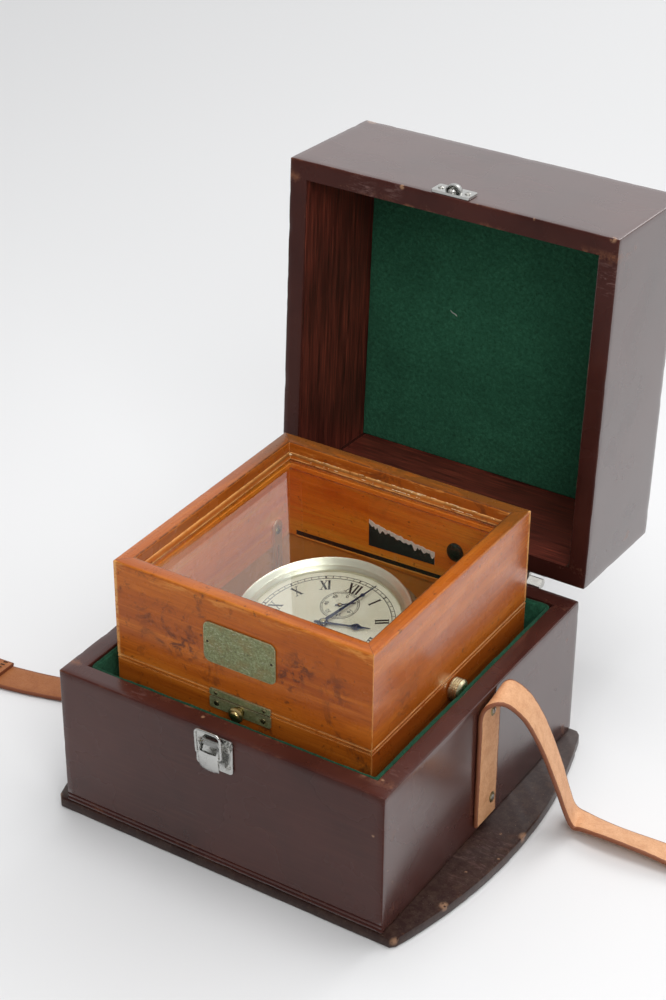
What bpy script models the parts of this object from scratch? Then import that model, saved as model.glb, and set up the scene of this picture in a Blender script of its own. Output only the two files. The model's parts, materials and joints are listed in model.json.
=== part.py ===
"""Marine chronometer in its glazed box, inside a padded carrying case.

All sizes below are in millimetres. The mesh helpers scale them to metres.
+X is to the right of the case, +Y to its hinged back, +Z up. The origin is the
centre of the base board's underside. The carrying case's lid is open, and the
bowl hangs tilted in its gimbal.

A piece that moves hangs from an empty on its joint's axis. Its shape is written
in the coordinates it has when the lids are closed and the bowl is level, and
the empty turns it to where it rests.
"""
import math

import bmesh
import bpy
from mathutils import Matrix, Vector

MM = 0.001
GAP = 0.3

# Carrying case
CASE_W = 235.4
CASE_D = 243.2
CASE_WALL = 12.8
BASE_T = 8.0
BASE_OVERHANG = 8.5
BASE_BULGE = 19.0
RIM_Z = 110.0
LID_TOP_Z = RIM_Z + GAP + 93.4
LID_PANEL_T = 6.5
LID_FELT_T = 1.8
LINER_T = 2.5
LINER_FLOOR_T = 3.0
LID_OPEN = math.radians(93.1)
LID_AXIS = (0.0, CASE_D / 2 + 5.2, RIM_Z + GAP / 2)

# Glazed box
BOX_W = 185.0
BOX_D = 188.7
BOX_FLOOR_Z = BASE_T + 3 * GAP + LINER_FLOOR_T
BOX_WALL = 8.0
BOX_FLOOR_T = 6.0
SEAM_Z = 113.4
BOX_TOP_Z = 184.5
RAIL_W = 9.8
GLASS_Z = 170.6
GLASS_T = 2.8
GLASS_LEDGE = 3.2
BOX_AXIS = (0.0, BOX_D / 2 + 2.95, SEAM_Z)
STAY_AXIS = (-81.5, 68.0, 128.0)

# Gimbal, bowl and dial. Heights are above the gimbal's axes.
GIMBAL_Z = 105.0
BOWL_TILT = math.radians(9.9)
RING_INNER_R = 62.5
RING_OUTER_R = 66.5
RING_HALF_H = 5.0
PIVOT_R = 1.5
PIVOT_HOLE_R = 1.8
BOWL_R = 55.5
BEZEL_R = 57.5
DIAL_R = 53.2
DIAL_TOP = 14.6
DIAL_T = 1.2
SUBDIAL_OFFSET = 19.7
MINUTE_HAND_TURN = math.radians(17.0)
HOUR_HAND_TURN = math.radians(74.0)
SECONDS_HAND_TURN = math.radians(205.0)
UP_DOWN_HAND_TURN = math.radians(55.0)

# Movement, in heights above the gimbal's axes and distances from the dial's centre
PILLAR_PLATE = (10.5, 12.9)
TOP_PLATE = (-16.0, -13.5)
PLATE_R = 53.2
TOP_PLATE_R = 45.5
PILLAR_R = 2.5
PILLAR_CIRCLE = 42.0
FUSEE_AT = (16.0, 17.0)
BARREL_AT = (-24.0, 20.0)
THIRD_AT = (-14.5, -10.0)
FOURTH_AT = (0.0, -SUBDIAL_OFFSET)
ESCAPE_AT = (16.3, -SUBDIAL_OFFSET)
BALANCE_AT = (12.0, -12.0)
SHUTTER_AT = (16.0, 5.0)

# Latch
LATCH_PLATE_T = 1.2
LEVER_AXIS = (0.0, -126.2, 103.5)
BAIL_AXIS = (0.0, -128.7, 97.0)
BAIL_HALF_W = 8.9
BAIL_WIRE_R = 0.9

# Carrying strap
STRAP_W = 25.0
STRAP_T = 2.6
BUCKLE_BAR = (-278.0, -33.0, 5.8)
BUCKLE_BAR_HALF = 1.6
TONGUE_EYE_R = 4.2
TONGUE_REACH = 21.5

# Butt hinges: distance out from the middle, length, leaf height, leaf thickness and knuckle radius
CASE_HINGE = (63.0, 50.0, 22.0, 1.6, 3.0)
BOX_HINGE = (55.0, 36.0, 13.0, 1.2, 2.2)
KNUCKLES = 5

# Plates and button of the glazed box's lock
BUTTON_Z = 108.8
BUTTON_HOLE_R = 3.3
LOCK_PLATE_T = 1.2


def remove_everything():
    """Empty the scene."""
    for thing in list(bpy.data.objects):
        bpy.data.objects.remove(thing, do_unlink=True)


def finish_material(name, colour, roughness, metallic=0.0):
    """A plain Principled material."""
    made = bpy.data.materials.new(name)
    made.use_nodes = True
    shader = made.node_tree.nodes["Principled BSDF"]
    shader.inputs["Base Color"].default_value = (*colour, 1.0)
    shader.inputs["Roughness"].default_value = roughness
    shader.inputs["Metallic"].default_value = metallic
    made.diffuse_color = (*colour, 1.0)
    return made


def pivot(name, at, parent=None, turn=(0.0, 0.0, 0.0)):
    """An empty on a joint's axis. Pieces placed on it turn with it."""
    empty = bpy.data.objects.new(name, None)
    bpy.context.collection.objects.link(empty)
    start = Vector(parent["at"]) if parent else Vector((0.0, 0.0, 0.0))
    empty.location = (Vector(at) - start) * MM
    empty.rotation_euler = turn
    empty.parent = parent
    empty["at"] = at
    return empty


def add_piece(name, bm, finish, on=None, smooth=False, bevel=0.0):
    """Turn a mesh drawn in millimetres into a named object, on a pivot if one is given."""
    start = Vector(on["at"]) if on else Vector((0.0, 0.0, 0.0))
    bmesh.ops.remove_doubles(bm, verts=bm.verts, dist=1e-4)
    bmesh.ops.recalc_face_normals(bm, faces=bm.faces)
    bmesh.ops.translate(bm, verts=bm.verts, vec=-start)
    bmesh.ops.scale(bm, verts=bm.verts, vec=(MM, MM, MM))
    mesh = bpy.data.meshes.new(name)
    bm.to_mesh(mesh)
    bm.free()
    if smooth:
        mesh.shade_smooth()
        mesh.set_sharp_from_angle(angle=math.radians(35.0))
    mesh.materials.append(finish)
    piece = bpy.data.objects.new(name, mesh)
    bpy.context.collection.objects.link(piece)
    piece.parent = on
    if bevel:
        edge = piece.modifiers.new("Eased edges", "BEVEL")
        edge.width = bevel * MM
        edge.segments = 2
        edge.limit_method = "ANGLE"
        edge.angle_limit = math.radians(40.0)
    return piece


def combine(piece, bm, operation, on=None):
    """Cut a shape out of a piece, or join it on, with a Boolean."""
    label = f"{piece.name}_{operation.lower()}_{len(piece.modifiers)}"
    tool = add_piece(label, bm, piece.data.materials[0], on)
    tool.hide_render = True
    tool.display_type = "WIRE"
    change = piece.modifiers.new(label, "BOOLEAN")
    change.operation = operation
    change.solver = "EXACT"
    change.object = tool


def box(bm, low, high):
    """Add a cuboid between two corners."""
    size = Vector(high) - Vector(low)
    centre = (Vector(high) + Vector(low)) / 2
    place = Matrix.Translation(centre) @ Matrix.Diagonal((*size, 1.0))
    bmesh.ops.create_cube(bm, size=1.0, matrix=place)


def cuboid(low, high):
    """A mesh holding one cuboid."""
    bm = bmesh.new()
    box(bm, low, high)
    return bm


def rod(bm, start, end, radius, segments=16):
    """Add a solid cylinder between two points."""
    start = Vector(start)
    along = Vector(end) - start
    turn = along.to_track_quat("Z", "Y").to_matrix().to_4x4()
    place = Matrix.Translation(start + along / 2) @ turn
    bmesh.ops.create_cone(
        bm, cap_ends=True, segments=segments, radius1=radius, radius2=radius,
        depth=along.length, matrix=place)


def cylinder(start, end, radius, segments=16):
    """A mesh holding one cylinder."""
    bm = bmesh.new()
    rod(bm, start, end, radius, segments)
    return bm


def circle(centre, radius, count=24, start=0.0, sweep=math.tau):
    """Points along an arc. A full circle leaves out its last point."""
    steps = count if sweep == math.tau else count - 1
    angles = [start + sweep * i / steps for i in range(count)]
    return [(centre[0] + radius * math.cos(a), centre[1] + radius * math.sin(a)) for a in angles]


def flat(point, height, plane):
    """A point of an outline, put in the plane named by its normal."""
    if plane == "x":
        return (height, point[0], point[1])
    if plane == "y":
        return (point[0], height, point[1])
    return (point[0], point[1], height)


def slab(outline, low, high, holes=(), plane="z"):
    """A plate with an outline and holes, between two heights along its normal."""
    bm = bmesh.new()
    edges = []
    for loop in (outline, *holes):
        verts = [bm.verts.new(flat(point, low, plane)) for point in loop]
        edges += [bm.edges.new((verts[i - 1], verts[i])) for i in range(len(verts))]
    bmesh.ops.triangle_fill(bm, use_beauty=True, use_dissolve=False, edges=edges)
    step = Vector(flat((0.0, 0.0), high - low, plane))
    grown = bmesh.ops.extrude_face_region(bm, geom=bm.faces[:])
    moved = [item for item in grown["geom"] if isinstance(item, bmesh.types.BMVert)]
    bmesh.ops.translate(bm, verts=moved, vec=step)
    return bm


def turned(profile, segments=64, centre=(0.0, 0.0, 0.0), along="z"):
    """Spin a profile of (radius, height) points round an axis through the centre."""
    bm = bmesh.new()
    verts = [bm.verts.new((radius, 0.0, height)) for radius, height in profile]
    closed = min(radius for radius, height in profile) > 0.0
    pairs = list(zip(verts, verts[1:]))
    if closed:
        pairs.append((verts[-1], verts[0]))
    edges = [bm.edges.new(pair) for pair in pairs]
    bmesh.ops.spin(
        bm, geom=verts + edges, cent=(0.0, 0.0, 0.0), axis=(0.0, 0.0, 1.0),
        angle=math.tau, steps=segments, use_merge=True)
    bmesh.ops.remove_doubles(bm, verts=bm.verts, dist=1e-4)
    if along == "x":
        bmesh.ops.rotate(bm, verts=bm.verts, matrix=Matrix.Rotation(math.pi / 2, 3, "Y"))
    if along == "-y":
        bmesh.ops.rotate(bm, verts=bm.verts, matrix=Matrix.Rotation(math.pi / 2, 3, "X"))
    if along == "-x":
        bmesh.ops.rotate(bm, verts=bm.verts, matrix=Matrix.Rotation(-math.pi / 2, 3, "Y"))
    bmesh.ops.translate(bm, verts=bm.verts, vec=centre)
    return bm


def rounded(half_x, half_y, radius, centre=(0.0, 0.0), corner_points=4):
    """The outline of a rectangle with rounded corners."""
    points = []
    for k, (sx, sy) in enumerate(((1, 1), (-1, 1), (-1, -1), (1, -1))):
        middle = (centre[0] + sx * (half_x - radius), centre[1] + sy * (half_y - radius))
        points += circle(middle, radius, corner_points, k * math.pi / 2, math.pi / 2)
    return points


def mitred_frame(half_x, half_y, profile):
    """A frame round a rectangle. The profile holds (inset, height) points, as a loop."""
    bm = bmesh.new()
    corners = ((1, 1), (-1, 1), (-1, -1), (1, -1))
    rings = []
    for inset, height in profile:
        ring = [bm.verts.new((sx * (half_x - inset), sy * (half_y - inset), height))
                for sx, sy in corners]
        rings.append(ring)
    for k, ring in enumerate(rings):
        after = rings[(k + 1) % len(rings)]
        for i in range(4):
            j = (i + 1) % 4
            bm.faces.new((ring[i], ring[j], after[j], after[i]))
    return bm


def open_box(half_x, half_y, low, high, wall, floor):
    """A box without a lid."""
    bm = cuboid((-half_x, -half_y, low), (half_x, half_y, high))
    top = max(bm.faces, key=lambda face: face.calc_center_median().z)
    bmesh.ops.inset_region(bm, faces=[top], thickness=wall, use_even_offset=True)
    sunk = bmesh.ops.extrude_discrete_faces(bm, faces=[top])["faces"][0]
    bmesh.ops.translate(bm, verts=sunk.verts[:], vec=(0.0, 0.0, low + floor - high))
    return bm


def curve_through(points, steps):
    """Catmull-Rom points through a few control points."""
    ends = [2 * points[0] - points[1], *points, 2 * points[-1] - points[-2]]
    made = []
    for a, b, c, d in zip(ends, ends[1:], ends[2:], ends[3:]):
        for i in range(steps):
            t = i / steps
            made.append(0.5 * (2 * b + (c - a) * t + (2 * a - 5 * b + 4 * c - d) * t * t
                               + (3 * b - a - 3 * c + d) * t ** 3))
    made.append(points[-1])
    return made


def ribbon(middles, widths, thickness):
    """A flat band swept through stations, each with its middle and its width vector."""
    bm = bmesh.new()
    rings = []
    for i, (middle, width) in enumerate(zip(middles, widths)):
        before = middles[max(i - 1, 0)]
        after = middles[min(i + 1, len(middles) - 1)]
        normal = (after - before).cross(width).normalized() * thickness / 2
        ring = [bm.verts.new(middle + s * width / 2 + t * normal)
                for s, t in ((-1, -1), (1, -1), (1, 1), (-1, 1))]
        rings.append(ring)
    for ring, after in zip(rings, rings[1:]):
        for i in range(4):
            j = (i + 1) % 4
            bm.faces.new((ring[i], ring[j], after[j], after[i]))
    bm.faces.new(rings[0])
    bm.faces.new(rings[-1][::-1])
    return bm


def gear(teeth, root_r, tip_r, low, high, centre, bore_r, windows=0):
    """A toothed wheel with a round bore and, in its web, round windows."""
    outline = []
    for i in range(teeth):
        for step, radius in ((0.0, root_r), (0.3, tip_r), (0.6, tip_r), (0.9, root_r)):
            angle = math.tau * (i + step) / teeth
            outline.append((centre[0] + radius * math.cos(angle), centre[1] + radius * math.sin(angle)))
    holes = [circle(centre, bore_r, 12)]
    web = (root_r - bore_r) / 2
    for i in range(windows):
        angle = math.tau * i / windows
        middle = (centre[0] + (bore_r + web) * math.cos(angle), centre[1] + (bore_r + web) * math.sin(angle))
        holes.append(circle(middle, web * 0.55, 8))
    return slab(outline, low, high, holes)


def build_case(paint, felt):
    """Base board, four walls and the felt liner of the carrying case."""
    half_w = CASE_W / 2
    half_d = CASE_D / 2
    inner_w = half_w - CASE_WALL
    inner_d = half_d - CASE_WALL
    low = BASE_T + GAP
    corner_x = half_w + BASE_OVERHANG
    ease = 3.0
    span = half_d - ease
    bow_r = (span ** 2 + BASE_BULGE ** 2) / (2 * BASE_BULGE)
    bow_x = corner_x + BASE_BULGE - bow_r
    bow_angle = math.asin(span / bow_r)
    right = circle((bow_x, 0.0), bow_r, 11, -bow_angle, 2 * bow_angle)
    right = [(corner_x - ease, -half_d), *right, (corner_x - ease, half_d)]
    left = [(-x, y) for x, y in reversed(right)]
    add_piece("base_board", slab(right + left, 0.0, BASE_T), paint, bevel=0.8)

    front = add_piece("case_front_board", cuboid(
        (-half_w, -half_d, low), (half_w, -inner_d, RIM_Z)), paint, bevel=0.8)
    for height in (11.0, 14.0):
        groove = slab([(-half_d - 1.0, height - 0.9), (-half_d + 0.8, height),
                       (-half_d - 1.0, height + 0.9)], -half_w - 1.0, half_w + 1.0, plane="x")
        combine(front, groove, "DIFFERENCE")
    add_piece("case_back_board", cuboid(
        (-half_w, inner_d, low), (half_w, half_d, RIM_Z)), paint, bevel=0.8)
    for side, name in ((-1, "case_left_board"), (1, "case_right_board")):
        ends = sorted((side * inner_w, side * half_w))
        add_piece(name, cuboid((ends[0], -inner_d + GAP, low), (ends[1], inner_d - GAP, RIM_Z)),
                  paint, bevel=0.8)
    add_piece("case_felt_liner", open_box(
        inner_w - GAP, inner_d - GAP, low + GAP, RIM_Z, LINER_T, LINER_FLOOR_T), felt)


def build_lid(hinge, paint, felt):
    """The carrying case's lid, drawn closed."""
    half_w = CASE_W / 2
    half_d = CASE_D / 2
    inner_w = half_w - CASE_WALL
    inner_d = half_d - CASE_WALL
    low = RIM_Z + GAP
    panel_low = LID_TOP_Z - LID_PANEL_T
    add_piece("lid_front_board", cuboid(
        (-half_w, -half_d, low), (half_w, -inner_d, LID_TOP_Z)), paint, hinge, bevel=0.8)
    add_piece("lid_back_board", cuboid(
        (-half_w, inner_d, low), (half_w, half_d, LID_TOP_Z)), paint, hinge, bevel=0.8)
    for side, name in ((-1, "lid_left_board"), (1, "lid_right_board")):
        ends = sorted((side * inner_w, side * half_w))
        add_piece(name, cuboid((ends[0], -inner_d + GAP, low), (ends[1], inner_d - GAP, LID_TOP_Z)),
                  paint, hinge, bevel=0.8)
    add_piece("lid_top_panel", cuboid(
        (-inner_w + GAP, -inner_d + GAP, panel_low), (inner_w - GAP, inner_d - GAP, LID_TOP_Z)),
        paint, hinge)
    add_piece("lid_felt_pad", cuboid(
        (-inner_w + 2 * GAP, -inner_d + 2 * GAP, panel_low - GAP - LID_FELT_T),
        (inner_w - 2 * GAP, inner_d - 2 * GAP, panel_low - GAP)), felt, hinge)


def hinge_leaf(name, metal, axis, back_y, side, sizes, upper, on=None):
    """One leaf of a butt hinge. The lower leaf carries the pin and the odd knuckles."""
    out, length, leaf_h, leaf_t, knuckle_r = sizes
    low_x = side * out - length / 2
    high_x = side * out + length / 2
    way = 1 if upper else -1
    face = back_y + GAP
    near = axis[2] + way * (knuckle_r + 0.4)
    far = axis[2] + way * leaf_h
    leaf = add_piece(name, cuboid(
        (low_x, face, min(near, far)), (high_x, face + leaf_t, max(near, far))), metal, on)
    pitch = length / KNUCKLES
    arc = circle((axis[1], axis[2]), knuckle_r, 9, way * math.pi / 2, -way * math.pi)
    outline = [(face, near + way * 2.0), (face + leaf_t, near + way * 2.0),
               (face + leaf_t, axis[2] + way * knuckle_r), *arc, (face, axis[2])]
    for k in range(1 if upper else 0, KNUCKLES, 2):
        start = low_x + k * pitch + (GAP / 2 if k > 0 else 0.0)
        end = low_x + (k + 1) * pitch - (GAP / 2 if k < KNUCKLES - 1 else 0.0)
        combine(leaf, slab(outline, start, end, plane="x"), "UNION", on)
    pin_r = knuckle_r * 0.4
    if upper:
        bore = cylinder((low_x - 1.0, *axis[1:]), (high_x + 1.0, *axis[1:]), pin_r + 0.4, 10)
        combine(leaf, bore, "DIFFERENCE", on)
    else:
        pin = cylinder((low_x + 0.4, *axis[1:]), (high_x - 0.4, *axis[1:]), pin_r, 10)
        combine(leaf, pin, "UNION", on)


def build_hinges(lid, box_lid, steel, brass):
    """Two butt hinges on the carrying case and two on the glazed box."""
    for side, word in ((-1, "left"), (1, "right")):
        hinge_leaf(f"case_hinge_leaf_{word}", steel, LID_AXIS, CASE_D / 2, side, CASE_HINGE, False)
        hinge_leaf(f"lid_hinge_leaf_{word}", steel, LID_AXIS, CASE_D / 2, side, CASE_HINGE, True, lid)
        hinge_leaf(f"tray_hinge_leaf_{word}", brass, BOX_AXIS, BOX_D / 2, side, BOX_HINGE, False)
        hinge_leaf(f"glazed_hinge_leaf_{word}", brass, BOX_AXIS, BOX_D / 2, side, BOX_HINGE, True, box_lid)


def build_latch(lever_pivot, bail_pivot, lid, chrome):
    """Draw latch on the case's front and its strike on the lid."""
    face = -CASE_D / 2 - GAP
    front = face - LATCH_PLATE_T
    outline = rounded(13.2, 12.3, 2.5, (0.0, 95.8))
    plate = add_piece("latch_plate", slab(outline, front, face, plane="y"), chrome)
    for side in (-1, 1):
        ends = sorted((side * 7.0, side * 7.8))
        ear = cuboid((ends[0], -127.5, 101.4), (ends[1], front + 0.6, 105.4))
        combine(plate, ear, "UNION")
    pin = cylinder((-7.5, LEVER_AXIS[1], LEVER_AXIS[2]), (7.5, LEVER_AXIS[1], LEVER_AXIS[2]), 0.8, 12)
    combine(plate, pin, "UNION")

    lever = [(-124.2, 104.0), (-125.0, 105.6), (-126.4, 106.1), (-127.8, 105.4), (-128.7, 103.5),
             (-130.3, 99.5), (-131.0, 96.5), (-130.6, 92.0), (-129.8, 88.0), (-130.2, 86.0),
             (-131.3, 84.8), (-130.2, 84.1), (-128.6, 85.0), (-127.9, 88.0), (-126.9, 93.0),
             (-126.4, 96.0), (-125.6, 98.5), (-124.2, 101.5)]
    holes = [circle(LEVER_AXIS[1:], 1.15, 12), circle(BAIL_AXIS[1:], 1.25, 12)]
    add_piece("latch_lever", slab(lever, -6.5, 6.5, holes, "x"), chrome, lever_pivot)

    path = [Vector((-4.6, -128.7, 97.0)), Vector((-BAIL_HALF_W, -128.7, 97.0)),
            Vector((-BAIL_HALF_W, -129.6, 112.0)), Vector((-6.6, -129.8, 114.5)),
            Vector((6.6, -129.8, 114.5)), Vector((BAIL_HALF_W, -129.6, 112.0)),
            Vector((BAIL_HALF_W, -128.7, 97.0)), Vector((4.6, -128.7, 97.0))]
    add_piece("latch_bail", wire(path, BAIL_WIRE_R, 8), chrome, bail_pivot, smooth=True)

    strike = add_piece("strike_plate", slab(
        rounded(15.5, 6.0, 1.5, (0.0, 117.5)), front, face, plane="y"), chrome, lid)
    hook = [(front + 0.6, 113.6), (-126.9, 113.9), (-127.5, 115.0), (-127.5, 119.2),
            (-126.3, 119.4), (-125.9, 116.4), (front + 0.6, 116.2)]
    combine(strike, slab(hook, -5.0, 5.0, plane="x"), "UNION", lid)


def wire(path, radius, sides):
    """A round wire along a path, mitred where the path bends."""
    bm = bmesh.new()
    rings = []
    side = None
    for i, point in enumerate(path):
        before = (point - path[max(i - 1, 0)]).normalized()
        after = (path[min(i + 1, len(path) - 1)] - point).normalized()
        along = (before + after).normalized()
        if side is None:
            side = along.orthogonal()
        side = (side - along * side.dot(along)).normalized()
        other = along.cross(side)
        bend = (after - before).normalized()
        mitred = before.length > 0.0 and after.length > 0.0
        stretch = 1.0 / max(0.5, along.dot(after)) if mitred else 1.0
        ring = []
        for k in range(sides):
            angle = math.tau * k / sides
            spoke = (side * math.cos(angle) + other * math.sin(angle)) * radius
            ring.append(bm.verts.new(point + spoke + bend * spoke.dot(bend) * (stretch - 1.0)))
        rings.append(ring)
    for ring, following in zip(rings, rings[1:]):
        for i in range(sides):
            j = (i + 1) % sides
            bm.faces.new((ring[i], ring[j], following[j], following[i]))
    bm.faces.new(rings[0])
    bm.faces.new(rings[-1][::-1])
    return bm


def build_straps(tongue_pivot, leather, steel):
    """The two halves of the carrying strap, with the buckle on the left half."""
    half_w = CASE_W / 2
    on_wall = half_w + GAP + STRAP_T / 2
    across = Vector((0.0, STRAP_W, 0.0))
    skewed = Vector((-9.6, 22.8, -1.0))
    stations = [
        ((on_wall, 0.0, 15.0), across), ((on_wall, 0.0, 45.0), across), ((on_wall, 0.0, 80.0), across),
        ((on_wall + 0.4, 0.0, 101.0), across), ((122.6, 3.0, 109.2), Vector((-4.0, 24.6, 1.0))),
        ((128.0, 8.4, 109.3), Vector((-8.5, 23.3, 2.5))), ((136.0, 15.6, 98.5), Vector((-9.5, 22.6, 5.0))),
        ((142.6, 21.8, 82.0), Vector((-9.5, 22.3, 6.5))), ((148.2, 27.0, 63.0), Vector((-9.5, 22.2, 6.5))),
        ((154.0, 32.4, 40.0), Vector((-9.5, 22.5, 5.0))), ((158.6, 36.4, 20.0), Vector((-9.6, 22.9, 1.5))),
        ((162.6, 39.6, 7.6), skewed), ((171.0, 39.8, 5.6), Vector((-6.0, 24.0, -3.0))),
        ((190.0, 39.0, 5.0), Vector((-1.0, 24.4, -5.0))), ((215.0, 40.2, 4.2), Vector((0.0, 24.7, -3.6))),
        ((245.0, 42.4, 2.6), Vector((0.0, 24.9, -1.6))), ((275.0, 44.0, 2.2), Vector((0.0, 25.0, 0.0))),
        ((296.0, 44.6, 2.0), Vector((0.0, 25.0, 0.0)))]
    middles = curve_through([Vector(place) for place, width in stations], 3)
    widths = curve_through([width for place, width in stations], 3)
    add_piece("strap_right", ribbon(middles, widths, STRAP_T), leather, smooth=True)

    bar = Vector(BUCKLE_BAR)
    lay = 1.8
    loop_r = bar.z - lay
    stations = [
        ((-on_wall, 0.0, 15.0), across), ((-on_wall, 0.0, 45.0), across), ((-on_wall, 0.0, 80.0), across),
        ((-on_wall - 0.4, 0.0, 101.0), across), ((-122.6, -0.4, 109.2), across),
        ((-128.4, -1.0, 109.6), across), ((-136.5, -2.2, 99.0), across),
        ((-144.0, -4.0, 80.0), across), ((-151.0, -6.4, 57.0), across),
        ((-158.0, -9.2, 32.0), across), ((-166.0, -12.0, 11.0), across),
        ((-176.0, -15.0, 3.4), across), ((-196.0, -20.5, lay), across),
        ((-222.0, -27.5, lay), across), ((-248.0, -32.2, lay), across),
        ((-266.0, -33.0, lay), across), ((bar.x, bar.y, lay), across)]
    middles = curve_through([Vector(place) for place, width in stations], 3)
    turn_steps = 8
    for i in range(1, turn_steps + 1):
        angle = -math.pi / 2 - math.pi * i / turn_steps
        middles.append(Vector((bar.x + loop_r * math.cos(angle), bar.y, bar.z + loop_r * math.sin(angle))))
    rise = lay + STRAP_T + GAP
    middles.append(Vector((bar.x + 6.0, bar.y, rise + 3.0)))
    middles.append(Vector((bar.x + 12.0, bar.y, rise + 0.7)))
    middles.append(Vector((bar.x + 20.0, -32.9, rise)))
    middles.append(Vector((bar.x + 32.0, -32.0, rise)))
    strap = add_piece("strap_left", ribbon(middles, [across] * len(middles), STRAP_T), leather, smooth=True)
    slot = cuboid((bar.x - 8.0, bar.y - 2.2, 0.0), (bar.x + 5.2, bar.y + 2.2, bar.z + 6.5))
    combine(strap, slot, "DIFFERENCE")

    frame_x = bar.x - 10.2
    frame = slab(rounded(11.8, 16.5, 4.0, (frame_x, bar.y)), bar.z - BUCKLE_BAR_HALF, bar.z + BUCKLE_BAR_HALF,
                 [rounded(8.6, 13.4, 2.0, (frame_x, bar.y))])
    add_piece("strap_buckle", frame, steel)
    tip_x = bar.x - TONGUE_REACH
    eye = circle((bar.x, bar.z), TONGUE_EYE_R, 16, math.radians(150.0), math.radians(310.0))
    tip = [(tip_x, bar.z + 3.9), (tip_x - 0.8, bar.z + 2.8), (tip_x, bar.z + 2.1)]
    hole = circle((bar.x, bar.z), 2.5, 16)
    add_piece("buckle_tongue", slab(eye + tip, bar.y - 1.2, bar.y + 1.2, [hole], "y"), steel, tongue_pivot)


def build_box(box_lid, stay_pivot, button_pivot, knob_pivot, wood, glass, brass):
    """The tray and glazed lid of the inner box, with their brass fittings."""
    half_w = BOX_W / 2
    half_d = BOX_D / 2
    tray = add_piece("tray_walls", open_box(
        half_w, half_d, BOX_FLOOR_Z, SEAM_Z - GAP / 2, BOX_WALL, BOX_FLOOR_T), wood, bevel=0.6)
    for side in (-1, 1):
        ends = sorted((side * (half_w - BOX_WALL - 1.0), side * (half_w + 1.0)))
        hole = cylinder((ends[0], 0.0, GIMBAL_Z), (ends[1], 0.0, GIMBAL_Z), 2.6, 16)
        combine(tray, hole, "DIFFERENCE")
    hole = cylinder((0.0, -half_d - 1.0, BUTTON_Z), (0.0, -half_d + BOX_WALL + 1.0, BUTTON_Z),
                    BUTTON_HOLE_R, 16)
    combine(tray, hole, "DIFFERENCE")

    low = SEAM_Z + GAP / 2
    inner = RAIL_W
    profile = [(0.0, low), (0.0, low + 1.9), (0.5, low + 2.4), (0.0, low + 2.9), (0.0, BOX_TOP_Z - 0.8),
               (0.8, BOX_TOP_Z), (inner - 0.8, BOX_TOP_Z), (inner, BOX_TOP_Z - 0.8),
               (inner, GLASS_Z), (inner + GLASS_LEDGE, GLASS_Z), (inner + GLASS_LEDGE, GLASS_Z - 3.0),
               (inner, GLASS_Z - 6.0), (inner, low)]
    frame = mitred_frame(half_w, half_d, profile)
    add_piece("glazed_lid_frame", frame, wood, box_lid)
    pane_x = half_w - RAIL_W - GAP
    pane_y = half_d - RAIL_W - GAP
    add_piece("glass_pane", cuboid(
        (-pane_x, -pane_y, GLASS_Z + GAP), (pane_x, pane_y, GLASS_Z + GAP + GLASS_T)), glass, box_lid,
        bevel=0.4)

    face = -half_d - GAP
    pins = [circle((-23.0, 151.7), 0.9, 10), circle((23.0, 151.7), 0.9, 10)]
    add_piece("nameplate", slab(rounded(25.8, 14.2, 4.5, (0.0, 151.7), 5), face - 0.8, face, pins, "y"),
              brass, box_lid)
    hole = [circle((0.0, BUTTON_Z), BUTTON_HOLE_R + 0.1, 20)]
    add_piece("lock_plate", slab(
        rounded(22.2, 4.1, 1.2, (0.0, BUTTON_Z)), face - LOCK_PLATE_T, face, hole, "y"), brass)
    add_piece("lock_keeper_plate", slab(
        rounded(22.2, 2.3, 1.0, (0.0, 116.1)), face - LOCK_PLATE_T, face, plane="y"), brass, box_lid)
    button = [(0.0, 8.3), (3.2, 8.3), (4.8, 7.6), (5.2, 6.0), (4.8, 4.0), (3.0, 4.0),
              (3.0, -5.6), (0.0, -5.6)]
    add_piece("lock_button", turned(button, 18, (0.0, -half_d, BUTTON_Z), "-y"),
              brass, button_pivot, smooth=True)

    knob = [(0.0, 8.4), (5.2, 8.4), (6.8, 7.4), (7.5, 6.4), (7.0, 5.5), (7.5, 4.6), (7.0, 3.7),
            (7.5, 2.8), (7.0, 1.9), (7.3, 1.2), (6.8, 0.3), (2.3, 0.3),
            (2.3, -24.5), (PIVOT_R, -24.5), (PIVOT_R, -28.0), (0.0, -28.0)]
    add_piece("gimbal_lock_knob", turned(knob, 18, (half_w, 0.0, GIMBAL_Z), "x"),
              brass, knob_pivot, smooth=True)
    screw = [(0.0, 3.4), (3.6, 3.2), (5.0, 1.8), (5.0, 0.3), (2.3, 0.3), (2.3, -24.5),
             (PIVOT_R, -24.5), (PIVOT_R, -28.0), (0.0, -28.0)]
    add_piece("gimbal_pivot_left", turned(screw, 14, (-half_w, 0.0, GIMBAL_Z), "-x"), brass, smooth=True)

    x = STAY_AXIS[0]
    top = circle((STAY_AXIS[1], STAY_AXIS[2]), 4.6, 9, 0.0, math.pi)
    foot = circle((STAY_AXIS[1], 97.0), 4.6, 9, math.pi, math.pi)
    slot_top = circle((STAY_AXIS[1], 112.0), 1.3, 7, 0.0, math.pi)
    slot_foot = circle((STAY_AXIS[1], 97.0), 1.3, 7, math.pi, math.pi)
    hole = circle((STAY_AXIS[1], STAY_AXIS[2]), 1.3, 12)
    add_piece("lid_stay", slab(top + foot, x - 0.7, x + 0.7, [slot_top + slot_foot, hole], "x"),
              brass, stay_pivot)


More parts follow.
